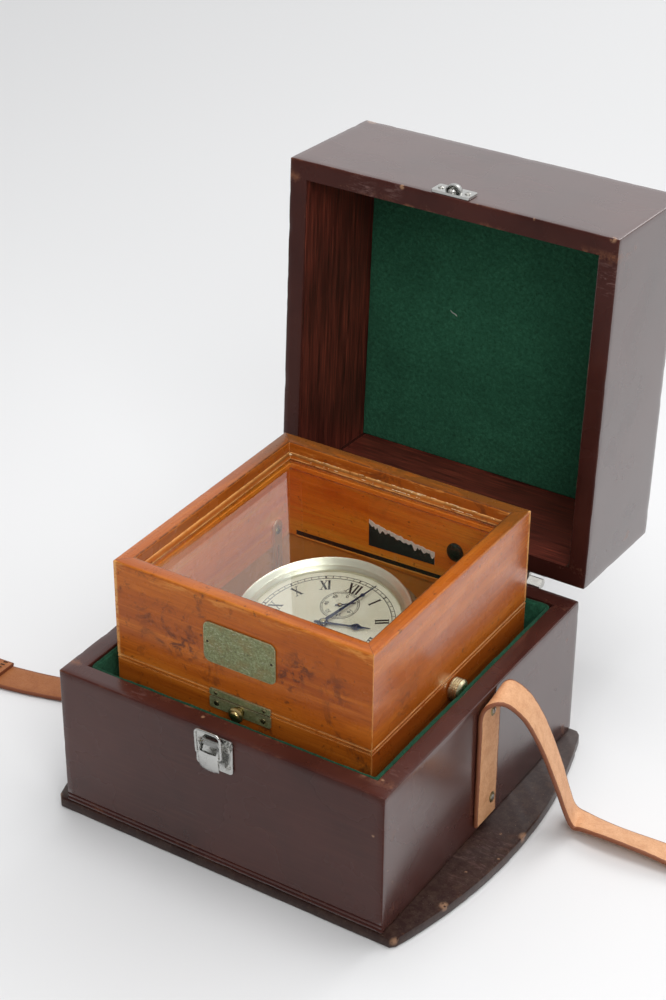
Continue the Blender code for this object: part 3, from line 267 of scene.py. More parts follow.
def mahogany(name, half_x, half_y, sheen=0.5, worn=1.0, shade=1.0, lines=(), stains=(), dense=True):
    """Varnished golden mahogany. Its grain runs along each side of a box this wide and deep. A shade other than 1
    gives a lighter or darker copy of the wood, painted light or painted shade, and the copy for a coarse mesh has
    painted light over the inside of the box.
    """
    look = Look(name)
    spot, facing = look.axes(), look.axes("Normal")
    away = look.math("ABSOLUTE", spot[0])
    deep = look.math("ABSOLUTE", spot[1])
    left = look.less(away, deep)
    mitre = look.math("GREATER_THAN", left, (half_x - half_y) * MM)
    flat = look.math("GREATER_THAN", look.math("ABSOLUTE", facing[2]), 0.5)
    sideways = look.math("GREATER_THAN", look.math("ABSOLUTE", facing[0]), 0.5)
    swap = look.mix(flat, sideways, mitre)
    turned_spot = look.node("CombineXYZ", X=spot[1], Y=spot[0], Z=spot[2]).outputs[0]
    shifted = look.node("VectorMath", operation="ADD", i0=turned_spot, i1=(0.31, 0.17, 0.05)).outputs[0]
    where = look.mix(swap, look.node("TexCoord").outputs["Object"], shifted)

    def streak(scale, amount, detail, twist=0.0, rough=0.55):
        return look.noise(look.node("Mapping", Vector=where, Scale=scale).outputs[0], amount, detail, rough, twist)

    figure = streak((4.0, 48.0, 48.0), 1.0, 5.0, 1.2, 0.6)
    fibre = streak((22.0, 700.0, 700.0), 1.0, 5.0)
    pore = look.span(streak((150.0, 2600.0, 2600.0), 1.0, 2.0), 0.62, 0.74)
    # A shade above 1 lightens every tone as painted light, and a shade below 1 darkens it as painted shade.
    tone = [tuple(min(0.85, c) for c in scaled(colour, shade)) for colour in
            ((0.306, 0.059, 0.0056), (0.464, 0.114, 0.0105), (0.655, 0.198, 0.0210))]
    colour = look.ramp(figure, (0.26, tone[0]), (0.50, tone[1]), (0.76, tone[2]))
    colour = look.mix(look.span(fibre, 0.36, 0.70, 0.0, 0.48), colour, tone[0])
    glint = look.span(streak((9.0, 230.0, 230.0), 1.0, 3.0), 0.58, 0.74)
    colour = look.over(colour, tone[2], glint, 0.35)
    colour = look.over(colour, (0.065, 0.020, 0.007), pore, 0.5)
    stain = look.mask((where, 36.0, 7.0, 0.72, 1.0), 0.54, 0.70)
    low = look.span(facing[1], -0.4, -0.9, 0.25 * worn, 0.85 * worn ** 2)
    colour = look.over(colour, (0.070, 0.020, 0.010), stain, low)
    blotch = look.mask((where, 110.0, 6.0, 0.75, 0.6), 0.47, 0.60)
    colour = look.marks(colour, (0.065, 0.018, 0.010), stains, blotch)
    if worn == 1.0:
        rise = look.times(look.span(spot[2], 0.170, 0.183), look.span(facing[1], -0.4, -0.9))
        band = look.times(rise, look.span(streak((30.0, 150.0, 150.0), 1.0, 6.0, 0.8, 0.7), 0.50, 0.64))
        colour = look.over(colour, (0.74, 0.31, 0.07), band, 0.6)
        # Flat faces are darkened towards the back, broken up by noise.
        aged = look.times(flat, look.span(spot[1], 0.0, 0.088, 0.08, 0.85))
        back_breakup = look.span(streak((40.0, 160.0, 160.0), 1.0, 5.0, 0.6, 0.7), 0.34, 0.56, 0.5, 1.0)
        aged = look.times(aged, back_breakup)
        colour = look.mix(aged, colour, (0.150, 0.055, 0.0120))
    colour = look.patches(colour, (0.050, 0.016, 0.009), 0.6, (where, 230.0, 4.0, 0.65), 0.63, 0.71)
    colour = look.patches(colour, (0.66, 0.36, 0.15), 0.6 * worn, (where, 330.0, 3.0, 0.6), 0.76, 0.80)
    rub = look.times(look.edge(0.0013, dense), look.mask((where, 140.0, 6.0, 0.8), 0.34, 0.54))
    colour = look.over(colour, (0.80, 0.42, 0.14), rub, 0.8 * worn)
    # Each line at a height is a painted highlight along an edge, stronger on faces turned to the right, where the
    # light falls.
    for height, half, strength in lines:
        off = look.less(spot[2], height * MM)
        line = look.span(look.math("ABSOLUTE", off), half * MM, half * 0.4 * MM)
        lit_right_side = look.span(facing[0], 0.3, 0.9, 0.45, 1.0)
        patchy = look.mask((where, 60.0, 5.0, 0.7), 0.34, 0.58, 0.35, 1.0)
        painted_highlight = look.times(look.times(line, patchy), lit_right_side)
        colour = look.over(colour, (0.74, 0.36, 0.14), painted_highlight, strength)
    from_side = look.less(half_x * MM, away)
    from_front = look.less(half_y * MM, deep)
    inset = look.node("Math", operation="MINIMUM", i0=from_side, i1=from_front).outputs[0]
    if dense:
        rim = look.times(look.span(inset, 0.0080, 0.0092), flat)
        rim = look.times(rim, look.span(spot[2], 0.1815, 0.1828))
        rim = look.times(rim, look.mask((where, 160.0, 5.0, 0.7), 0.38, 0.52, 0.25, 0.85))
        colour = look.mix(rim, colour, (0.120, 0.036, 0.0120))
    else:
        # Faces more than 2 mm in from the outside of the box are mixed towards bright orange: painted light on the
        # inside of the tray.
        colour = look.mix(look.times(look.span(inset, 0.0010, 0.0020), 0.75), colour, (0.80, 0.36, 0.080))
    joint = look.less(left, (half_x - half_y) * MM)
    joint = look.span(look.math("ABSOLUTE", joint), 0.00030, 0.00008)
    colour = look.mix(look.times(look.times(joint, flat), 0.75), colour, (0.045, 0.012, 0.004))
    look.bump(pore, -0.00003)
    look.bump(fibre, 0.00003)
    look.bump(look.noise(where, 70.0, 3.0), 0.00014)
    shine = look.mask((where, 50.0, 5.0, 0.6), 0.35, 0.75, 0.22, 0.38)
    return look.finish(colour, shine, IOR=1.5, Specular_IOR_Level=look.glance(0.08, 0.40),
                       Coat_Weight=look.glance(0.0, sheen), Coat_Roughness=0.16)


def baize(name, shade=1.0, painted_shade_up=0.0):
    """Green wool baize with a short matted nap, darkened on faces that turn upward as painted shade."""
    look = Look(name)
    where = look.place()
    clump = look.noise(where, 420.0, 5.0, 0.7, 0.6)
    fibre = look.noise(where, 2300.0, 3.0, 0.7, 1.2)
    patch = look.noise(where, 28.0, 3.0)
    tone = [scaled(colour, shade) for colour in
            ((0.0095, 0.050, 0.0260), (0.0230, 0.120, 0.0630), (0.0520, 0.215, 0.1200))]
    colour = look.ramp(clump, (0.32, tone[0]), (0.50, tone[1]), (0.70, tone[2]))
    colour = look.mix(look.span(fibre, 0.40, 0.70, 0.0, 0.55), colour, tone[2])
    colour = look.mix(look.span(patch, 0.35, 0.7, 0.0, 0.30), colour, tone[0])
    colour = look.patches(colour, (0.25, 0.33, 0.27), 0.5, (where, 900.0, 1.0), 0.80, 0.84)
    # Painted shade: faces turned upward are darkened, standing for the rail's shadow along the top edge of the liner.
    if painted_shade_up:
        up = look.span(look.axes("Normal")[2], 0.2, 0.8, 0.0, painted_shade_up)
        colour = look.mix(up, colour, scaled(tone[0], 0.2))
    look.bump(clump, 0.00045)
    look.bump(fibre, 0.00022)
    return look.finish(colour, 0.95, Specular_IOR_Level=0.12, Sheen_Weight=0.12, Sheen_Roughness=0.55,
                       Sheen_Tint=(0.30, 0.62, 0.42))


def metal(name, colour, rough=(0.16, 0.34), tarnish=None, share=0.0, streak=0.0, grit=0.00002, worn=None,
          dull=0.4):
    """Plated or solid metal, with smudges, fine scratches and, if asked for, tarnish."""
    look = Look(name)
    where = look.place()
    smudge = look.noise(where, 190.0, 5.0, 0.65)
    tint = look.mix(look.span(smudge, 0.3, 0.75, 0.0, dull), colour, scaled(colour, 0.72))
    metallic = 1.0
    shine = look.span(smudge, 0.32, 0.72, *rough)
    if tarnish:
        mask = look.mask((where, 420.0, 8.0, 0.8, 0.6), 0.62 - 0.30 * share, 0.86 - 0.30 * share)
        patchy = look.ramp(look.noise(where, 900.0, 4.0, 0.7), (0.30, tarnish[0]), (0.66, tarnish[1]))
        if worn:
            edge = look.times(look.edge(0.0008), worn)
            mask = look.math("SUBTRACT", mask, edge)
        tint = look.mix(mask, tint, patchy)
        metallic = look.math("SUBTRACT", 1.0, look.times(mask, 0.8))
        shine = look.math("ADD", shine, look.times(mask, 0.34))
        look.bump(mask, 0.00006)
    if streak:
        lines = look.noise(look.place((60.0, 2200.0, 60.0)), 1.0, 3.0)
        shine = look.math("ADD", shine, look.span(lines, 0.45, 0.75, 0.0, streak))
        look.bump(lines, grit)
    look.bump(look.noise(where, 1300.0, 3.0, 0.6), grit)
    return look.finish(tint, shine, Metallic=metallic)


def verdigris(name, bloom):
    """Brass gone brown and green, with a pale bloom in it and bright worn edges."""
    look = Look(name)
    where = look.place()
    fine = look.noise(where, 620.0, 8.0, 0.8, 0.5)
    wide = look.noise(where, 95.0, 4.0, 0.6)
    rows = look.noise(look.place((340.0, 340.0, 900.0)), 1.0, 5.0, 0.75)
    colour = look.ramp(fine, (0.34, (0.070, 0.078, 0.030)), (0.50, (0.195, 0.205, 0.088)),
                       (0.66, (0.330, 0.400, 0.220)))
    colour = look.mix(look.span(wide, 0.45, 0.70, 0.0, 0.6), colour, (0.230, 0.165, 0.055))
    pale = look.span(rows, 0.55, 0.68)
    colour = look.over(colour, (0.52, 0.55, 0.40), pale, 0.75 * bloom)
    colour = look.patches(colour, (0.030, 0.034, 0.016), 0.7, (where, 260.0, 5.0, 0.7), 0.62, 0.74)
    rub = look.times(look.edge(0.0010), look.span(fine, 0.34, 0.52))
    colour = look.over(colour, (0.62, 0.56, 0.34), rub, 0.9)
    look.bump(fine, 0.00010)
    look.bump(rows, 0.00007)
    shine = look.span(fine, 0.3, 0.7, 0.36, 0.58)
    return look.finish(colour, shine, Metallic=look.span(look.math("ADD", rub, 0.35), 0.0, 1.0, 0.0, 0.85))


def leather(name, base):
    """Vegetable-tanned strap leather, with darker burnished edges and a pebbled surface."""
    look = Look(name)
    where = look.place()
    mottle = look.noise(where, 130.0, 7.0, 0.72, 0.2)
    fine = look.noise(where, 900.0, 4.0, 0.65)
    deep = tuple(c * f for c, f in zip(base, (0.80, 0.70, 0.60)))
    pale = tuple(c * f for c, f in zip(base, (1.12, 1.17, 1.22)))
    colour = look.ramp(mottle, (0.28, deep), (0.50, base), (0.72, pale))
    colour = look.mix(look.span(fine, 0.42, 0.68, 0.0, 0.42), colour, deep)
    colour = look.patches(colour, (0.20, 0.075, 0.030), 0.45, (where, 150.0, 5.0, 0.7), 0.66, 0.76)
    across = look.node("SeparateXYZ", Vector=look.node("UVMap").outputs[0]).outputs[0]
    off = look.math("ABSOLUTE", look.less(across, 0.5))
    rim = look.span(look.math("ADD", off, look.span(mottle, 0.3, 0.7, -0.02, 0.02)), 0.425, 0.452)
    colour = look.over(colour, (0.18, 0.048, 0.019), rim, 0.92)
    cells = look.node("TexVoronoi", Vector=where, Scale=1150.0, feature="F1").outputs["Distance"]
    look.bump(cells, 0.00010)
    look.bump(look.noise(where, 240.0, 4.0), 0.00012)
    return look.finish(colour, look.span(fine, 0.3, 0.7, 0.46, 0.66), IOR=1.45, Specular_IOR_Level=0.42)


def plain(name, colour, rough, spread=0.25, **surface):
    """A mostly even finish with a little variation and tooth."""
    look = Look(name)
    cloud = look.noise(look.place(), 600.0, 4.0, 0.6)
    tint = look.mix(look.span(cloud, 0.3, 0.7), scaled(colour, 1 - spread), scaled(colour, 1 + spread))
    look.bump(cloud, 0.00002)
    return look.finish(tint, look.span(cloud, 0.3, 0.7, rough * 0.9, min(1.0, rough * 1.1)), **surface)


def silvered(name):
    """The dial: silvered and lacquered, with fine straight graining and a little yellowing."""
    look = Look(name)
    where = look.place()
    lines = look.noise(look.place((4200.0, 60.0, 60.0)), 1.0, 3.0)
    age = look.noise(where, 60.0, 4.0)
    colour = look.ramp(age, (0.30, (0.83, 0.79, 0.62)), (0.70, (0.94, 0.90, 0.75)))
    colour = look.mix(look.span(lines, 0.4, 0.7, 0.0, 0.14), colour, (0.62, 0.59, 0.46))
    colour = look.patches(colour, (0.22, 0.18, 0.10), 0.5, (where, 750.0, 2.0), 0.77, 0.82)
    look.bump(lines, 0.000006)
    return look.finish(colour, look.span(lines, 0.3, 0.7, 0.34, 0.48), Metallic=0.12)


def clear_glass(name, tint, flaws=0.0):
    """Clear glass that lets lamps through: it mirrors by the angle and shows the rest behind it."""
    look = Look(name)
    tree = look.tree
    behind = look.node("NewGeometry").outputs["Backfacing"]
    share = look.node("Fresnel", IOR=look.span(behind, 0.0, 1.0, 1.62, 1.0 / 1.62)).outputs[0]
    through = look.node("BsdfTransparent", Color=tint).outputs[0]
    mirror = look.node("BsdfGlossy", Color=(1.0, 1.0, 1.0), Roughness=0.01).outputs[0]
    both = look.node("MixShader", i0=share, i1=through, i2=mirror).outputs[0]
    if flaws:
        haze = look.mask((look.place(), 220.0, 6.0, 0.75), 0.62, 0.85, 0.0, flaws)
        dusty = look.node("BsdfDiffuse", Color=(0.75, 0.75, 0.72)).outputs[0]
        both = look.node("MixShader", i0=haze, i1=both, i2=dusty).outputs[0]
    tree.nodes.remove(look.shader)
    tree.links.new(both, tree.nodes["Material Output"].inputs["Surface"])
    return look.material


# ---------------------------------------------------------------- mesh helpers

def finish(name, bm, look, body, matrix=HERE, replaces=(), smooth=35.0, bevel=0.0):
    """Turn a mesh drawn in millimetres into a piece that rides on a body."""
    bmesh.ops.remove_doubles(bm, verts=bm.verts, dist=2e-4)
    bmesh.ops.recalc_face_normals(bm, faces=bm.faces)
    bmesh.ops.scale(bm, verts=bm.verts, vec=(MM, MM, MM))
    mesh = bpy.data.meshes.new(name)
    bm.to_mesh(mesh)
    bm.free()
    for each in look if isinstance(look, list) else [look]:
        mesh.materials.append(each)
    piece = bpy.data.objects.new(name, mesh)
    bpy.context.scene.collection.objects.link(piece)
    if smooth:
        mesh.shade_smooth()
        mesh.set_sharp_from_angle(angle=math.radians(smooth))
    if bevel:
        soften(piece, bevel)
    piece.matrix_world = matrix
    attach(piece, body)
    if replaces:
        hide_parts(*replaces)
    return piece


def soften(piece, width):
    """Ease a piece's sharp edges."""
    edge = piece.modifiers.new("Eased edges", "BEVEL")
    edge.width = width * MM
    edge.segments = 3
    edge.limit_method = "ANGLE"
    edge.angle_limit = math.radians(38.0)
    edge.harden_normals = True


def circle(centre, radius, count=48, start=0.0, sweep=math.tau):
    """Points along a circle, or along an arc with both its ends."""
    steps = count if sweep == math.tau else count - 1
    return [(centre[0] + radius * math.cos(start + sweep * i / steps),
             centre[1] + radius * math.sin(start + sweep * i / steps)) for i in range(count)]


def rounded(half_x, half_y, radius, centre=(0.0, 0.0), corner_points=6):
    """A rectangle's outline with round corners."""
    points = []
    for k, (sx, sy) in enumerate(((1, 1), (-1, 1), (-1, -1), (1, -1))):
        middle = (centre[0] + sx * (half_x - radius), centre[1] + sy * (half_y - radius))
        points += circle(middle, radius, corner_points, k * math.pi / 2, math.pi / 2)
    return points


def flat(point, height, plane):
    """A 2-D point set on the plane that is square to an axis."""
    if plane == "x":
        return (height, point[0], point[1])
    if plane == "y":
        return (point[0], height, point[1])
    return (point[0], point[1], height)


def slab(outline, low, high, holes=(), plane="z"):
    """A plate with an outline and holes, between two heights along its normal."""
    made = bmesh.new()
    edges = []
    for loop in (outline, *holes):
        verts = [made.verts.new(flat(point, low, plane)) for point in loop]
        edges += [made.edges.new((verts[i - 1], verts[i])) for i in range(len(verts))]
    bmesh.ops.triangle_fill(made, use_beauty=True, use_dissolve=False, edges=edges)
    grown = bmesh.ops.extrude_face_region(made, geom=made.faces[:])
    moved = [item for item in grown["geom"] if isinstance(item, bmesh.types.BMVert)]
    bmesh.ops.translate(made, verts=moved, vec=Vector(flat((0.0, 0.0), high - low, plane)))
    bmesh.ops.recalc_face_normals(made, faces=made.faces)
    return made


def join(bm, made):
    """Add one mesh to another, or keep it if there is no other."""
    if bm is None:
        return made
    spare = bpy.data.meshes.new("spare")
    made.to_mesh(spare)
    made.free()
    bm.from_mesh(spare)
    bpy.data.meshes.remove(spare)
    return bm


def turned(profile, segments=64, matrix=HERE, bm=None):
    """Spin (radius, height) points round +Z, then place the result with a matrix in millimetres."""
    made = bmesh.new()
    verts = [made.verts.new((radius, 0.0, height)) for radius, height in profile]
    pairs = list(zip(verts, verts[1:]))
    if min(radius for radius, height in profile) > 0.0:
        pairs.append((verts[-1], verts[0]))
    edges = [made.edges.new(pair) for pair in pairs]
    bmesh.ops.spin(made, geom=verts + edges, cent=(0, 0, 0), axis=(0, 0, 1), angle=math.tau, steps=segments,
                   use_merge=True)
    bmesh.ops.remove_doubles(made, verts=made.verts, dist=1e-4)
    bmesh.ops.recalc_face_normals(made, faces=made.faces)
    made.transform(matrix)
    return join(bm, made)


def quads(bm, rings, around=True, along=False):
    """Faces between neighbouring rows of vertices. Around closes each row, and along joins the last to the first."""
    pairs = list(zip(rings, rings[1:] + rings[:1] if along else rings[1:]))
    for ring, after in pairs:
        for k in range(len(ring) if around else len(ring) - 1):
            j = (k + 1) % len(ring)
            bm.faces.new((ring[k], ring[j], after[j], after[k]))


def slice_at(bm, spot, normal):
    """Cut edges and faces along a plane, and keep both sides."""
    bmesh.ops.bisect_plane(bm, geom=bm.verts[:] + bm.edges[:] + bm.faces[:], plane_co=spot, plane_no=normal)


def facing(at, towards):
    """A matrix in millimetres whose +Z points along a direction."""
    return Matrix.Translation(Vector(at)) @ Vector(towards).to_track_quat("Z", "Y").to_matrix().to_4x4()


def grid_box(low, high, step):
    """A cuboid's surface as a grid of quads."""
    bm = bmesh.new()
    counts = [max(1, round((high[k] - low[k]) / step)) for k in range(3)]
    for axis in range(3):
        u, v = (axis + 1) % 3, (axis + 2) % 3
        for end in (low[axis], high[axis]):
            rows = []
            for i in range(counts[u] + 1):
                row = []
                for j in range(counts[v] + 1):
                    point = [0.0, 0.0, 0.0]
                    point[axis] = end
                    point[u] = low[u] + (high[u] - low[u]) * i / counts[u]
                    point[v] = low[v] + (high[v] - low[v]) * j / counts[v]
                    row.append(bm.verts.new(point))
                rows.append(row)
            quads(bm, rows, around=False)
    bmesh.ops.remove_doubles(bm, verts=bm.verts, dist=1e-3)
    bmesh.ops.recalc_face_normals(bm, faces=bm.faces)
    return bm


def knock(vert, coarse, fine, above, depth):
    """Push a vertex in where two noises together come above a threshold."""
    dent = noise.noise(vert.co * coarse) + 0.5 * noise.noise(vert.co * fine)
    vert.co -= vert.normal * max(0.0, dent - above) * depth


def board_mesh(low, high, seams=(), grooves=()):
    """A wooden board with eased and slightly knocked edges. Its seam faces keep sharp edges."""
    bm = grid_box(low, high, BOARD_GRID)
    for height in grooves:
        for offset in (-0.9, 0.0, 0.9):
            slice_at(bm, (0, 0, height + offset), (0, 0, 1))
        for vert in bm.verts:
            if abs(vert.co.z - height) < 1e-3 and abs(vert.co.y - low[1]) < 1e-3:
                vert.co.y += GROOVE_DEPTH
    walls = [(k, sign + "xyz"[k], value) for k in range(3) for sign, value in (("-", low[k]), ("+", high[k]))]
    chosen = []
    for edge in bm.edges:
        sides = {wall for k, wall, value in walls if all(abs(vert.co[k] - value) < 1e-3 for vert in edge.verts)}
        if len(sides) == 2 and not sides & set(seams):
            chosen.append(edge)
    bmesh.ops.bevel(bm, geom=chosen, offset=EASE, segments=3, profile=0.5, affect="EDGES", clamp_overlap=True)
    bm.normal_update()
    for vert in bm.verts:
        free = sum(abs(vert.co[k] - value) < EASE * 1.2 for k, wall, value in walls if wall not in seams)
        seam = any(abs(vert.co[k] - value) < EASE for k, wall, value in walls if wall in seams)
        if free >= 2 and not seam:
            knock(vert, 0.09, 0.31, 0.12, 0.5)
    return bm


def curve_through(points, steps):
    """Catmull-Rom points through a few control points."""
    points = [Vector(point) for point in points]
    ends = [2 * points[0] - points[1], *points, 2 * points[-1] - points[-2]]
    made = []
    for a, b, c, d in zip(ends, ends[1:], ends[2:], ends[3:]):
        for i in range(steps):
            t = i / steps
            made.append(0.5 * (2 * b + (c - a) * t + (2 * a - 5 * b + 4 * c - d) * t * t
                               + (3 * b - a - 3 * c + d) * t ** 3))
    made.append(points[-1])
    return made


def wire(path, radius, sides=12, bm=None):
    """A round wire along a path, with flat ends."""
    made = bmesh.new()
    rings = []
    side = None
    for i, point in enumerate(path):
        along = (path[min(i + 1, len(path) - 1)] - path[max(i - 1, 0)]).normalized()
        side = along.orthogonal() if side is None else side - along * side.dot(along)
        side.normalize()
        other = along.cross(side)
        rings.append([made.verts.new(point + radius * (side * math.cos(math.tau * k / sides)
                                                      + other * math.sin(math.tau * k / sides)))
                      for k in range(sides)])
    quads(made, rings)
    made.faces.new(rings[0][::-1])
    made.faces.new(rings[-1])
    return join(bm, made)


def screw(at, towards, radius, turn=30.0, dome=0.35, bm=None):
    """A slotted screw head standing on a face."""
    made = turned([(0.0, -0.3), (radius, -0.3), (radius, 0.12), (radius * 0.94, radius * dome * 0.5),
                   (radius * 0.6, radius * dome * 0.9), (radius * 0.25, radius * dome), (0.0, radius * dome)], 28)
    half = radius * 0.11
    floor = radius * dome * 0.35
    for x in (-half, half):
        slice_at(made, (x, 0, 0), (1, 0, 0))
    for vert in made.verts:
        if abs(vert.co.x) <= half + 1e-4 and vert.co.z > floor:
            vert.co.z = floor if abs(vert.co.x) < half - 1e-3 else vert.co.z
    inner = [face for face in made.faces if abs(face.calc_center_median().x) < half * 0.99
             and face.normal.z > 0.3]
    sunk = bmesh.ops.extrude_face_region(made, geom=inner)
    for vert in [item for item in sunk["geom"] if isinstance(item, bmesh.types.BMVert)]:
        vert.co.z = min(vert.co.z, floor)
    bmesh.ops.delete(made, geom=inner, context="FACES_ONLY")
    bmesh.ops.delete(made, geom=[edge for edge in made.edges if not edge.link_faces], context="EDGES")
    made.transform(facing(at, towards) @ Matrix.Rotation(math.radians(turn), 4, "Z"))
    return join(bm, made)


def screws(name, spots, towards, look, body, matrix=HERE):
    """A piece made of screws. Each spot is a place, a radius, the slot's turn and a dome."""
    bm = None
    for at, radius, turn, dome in spots:
        bm = screw(at, towards, radius, turn, dome, bm)
    return finish(name, bm, look, body, matrix)


def wobble(bm, reach, scale, keep=lambda co: False):
    """Shift vertices a little, the same way on every run."""
    for vert in bm.verts:
        if not keep(vert.co):
            vert.co += reach * Vector(noise.noise_vector(vert.co * scale))


# ---------------------------------------------------------------- carrying case

CASE_SEAM = 110.15  # the height at which the case and its closed lid meet
CASE_FRONT, CASE_HALF = -121.9, 117.7  # where the front face and the side faces lie
LATCH_Z, STRIKE_Z = 95.8, 117.5  # the middles of the latch's plate and of the strike's

# Scuffs and chips are places with a radius, in millimetres, and a strength. The lid's are for its closed place.
case_paint = painted_wood(
    "case_paint_outside", coat=0.38, tone=1.15,
    scuffs=(((-62.0, -117.0, 110.0), 9.0, 0.6), ((111.0, -94.0, 110.0), 12.0, 0.5),
            ((118.0, -108.0, 55.0), 14.0, 0.35)),
    chips=(((-14.7, -113.3, 110.0), 1.6, 1.0), ((107.6, -106.7, 110.0), 1.6, 0.8),
           ((118.0, -115.8, 54.0), 1.5, 0.7), ((118.0, -110.9, 41.0), 1.4, 0.7), ((110.5, -121.6, 80.2), 1.3, 1.0)))
lid_paint = painted_wood(
    "lid_paint_outside",
    scuffs=(((-63.0, -114.4, 110.3), 14.0, 0.75), ((-40.0, -117.0, 110.3), 9.0, 0.5),
            ((111.0, -95.0, 110.3), 15.0, 0.75)),
    chips=(((-33.7, -120.5, 110.3), 2.2, 1.0), ((-112.0, -121.6, 203.0), 5.0, 1.0),
           ((113.5, -121.0, 111.0), 3.0, 0.9), ((60.0, -121.4, 110.8), 1.6, 0.8), ((20.0, -121.4, 110.8), 1.2, 0.8)))
base_paint = painted_wood(
    "base_paint", dust=0.6, coat=0.24, tone=0.45,
    scuffs=(((134.0, -30.0, 8.0), 40.0, 0.3),),
    chips=(((126.5, -120.5, 5.0), 4.5, 1.0), ((145.9, 4.9, 7.0), 5.0, 0.9), ((135.5, -78.7, 7.0), 4.0, 0.9),
           ((-126.0, -120.0, 5.0), 4.5, 0.9), ((132.3, -1.1, 8.0), 1.4, 0.7), ((131.7, -44.8, 8.0), 1.3, 0.7),
           ((142.6, -23.1, 8.0), 1.3, 0.7)))
inside_stain = stained_inside("lid_stain_inside")
# The case's baize has painted shade on its upward faces.
felt = baize("green_baize_case", 0.92, painted_shade_up=0.6)
# The lid's baize is a darker copy of the case's: painted shade.
felt_lid_shaded = baize("green_baize_lid_shaded", 0.86)


def build_boards():
    """The boards of the case and of its lid. They touch each other, as paint hides their joints."""
    low, high = extent("case_front_board")
    inner_y = high.y
    finish("case_front", board_mesh(low, high, ("+y",), grooves=(11.0, 14.0)), case_paint, "case",
           replaces=["case_front_board"])
    back_low, back_high = extent("case_back_board")
    finish("case_back", board_mesh(back_low, back_high, ("-y",)), case_paint, "case",
           replaces=["case_back_board"])
    for word in ("right", "left"):
        a, b = extent(f"case_{word}_board")
        finish(f"case_{word}", board_mesh((a.x, inner_y, a.z), (b.x, -inner_y, b.z), ("-y", "+y")), case_paint,
               "case", replaces=[f"case_{word}_board"])

    boards = {word: extent(f"lid_{word}_board", LID) for word in ("front", "back", "left", "right")}
    inner_y = boards["front"][1].y
    inner_x = boards["right"][0].x
    panel_low, panel_high = extent("lid_top_panel", LID)
    for word, (a, b) in boards.items():
        seams = ("+y",) if word == "front" else ("-y",)
        if word in ("left", "right"):
            a, b = Vector((a.x, inner_y, a.z)), Vector((b.x, -inner_y, b.z))
            seams = ("-y", "+y")
        bm = board_mesh(a, b, seams)
        for face in bm.faces:
            middle = face.calc_center_median()
            if abs(middle.x) < inner_x + 0.2 and abs(middle.y) < -inner_y + 0.2 and middle.z > a.z + 1.2:
                face.material_index = 1
        finish(f"lid_{word}", bm, [lid_paint, inside_stain], "outer_lid", LID,
               [f"lid_{word}_board"])
    finish("lid_panel", board_mesh((-inner_x, inner_y, panel_low.z), (inner_x, -inner_y, panel_high.z),
                                   ("-x", "+x", "-y", "+y")), lid_paint, "outer_lid", LID,
           ["lid_top_panel"])


def build_base():
    """The base board, bowed out at each side, with a rounded and knocked rim."""
    low, high = extent("base_board")
    overhang, ease = 8.5, 3.0
    corner = extent("case_front_board")[1].x + overhang
    span = high.y - ease
    bulge = high.x - corner
    radius = (span ** 2 + bulge ** 2) / (2 * bulge)
    reach = math.asin(span / radius)
    right = circle((high.x - radius, 0.0), radius, 64, -reach, 2 * reach)
    right = [(corner - ease, -high.y), *right, (corner - ease, high.y)]
    front = [(x, -high.y) for x in range(-120, 121, 6)]
    back = [(x, high.y) for x in range(120, -121, -6)]
    outline = front[:-1] + [(120.0, -high.y)] + right + back + [(-x, -y) for x, y in right]
    bm = slab(outline, low.z, high.z)
    rim = [edge for edge in bm.edges if edge.calc_length() > 0.0 and len(edge.link_faces) == 2
           and edge.calc_face_angle(0.0) > 0.8 and abs(edge.verts[0].co.z - edge.verts[1].co.z) < 1e-3]
    bmesh.ops.bevel(bm, geom=rim, offset=1.1, segments=3, profile=0.5, affect="EDGES", clamp_overlap=True)
    bm.normal_update()
    for vert in bm.verts:
        if abs(vert.normal.z) < 0.9 and vert.co.z > 0.5:
            knock(vert, 0.12, 0.45, 0.15, 0.7)
    finish("base", bm, base_paint, "case", replaces=["base_board"])


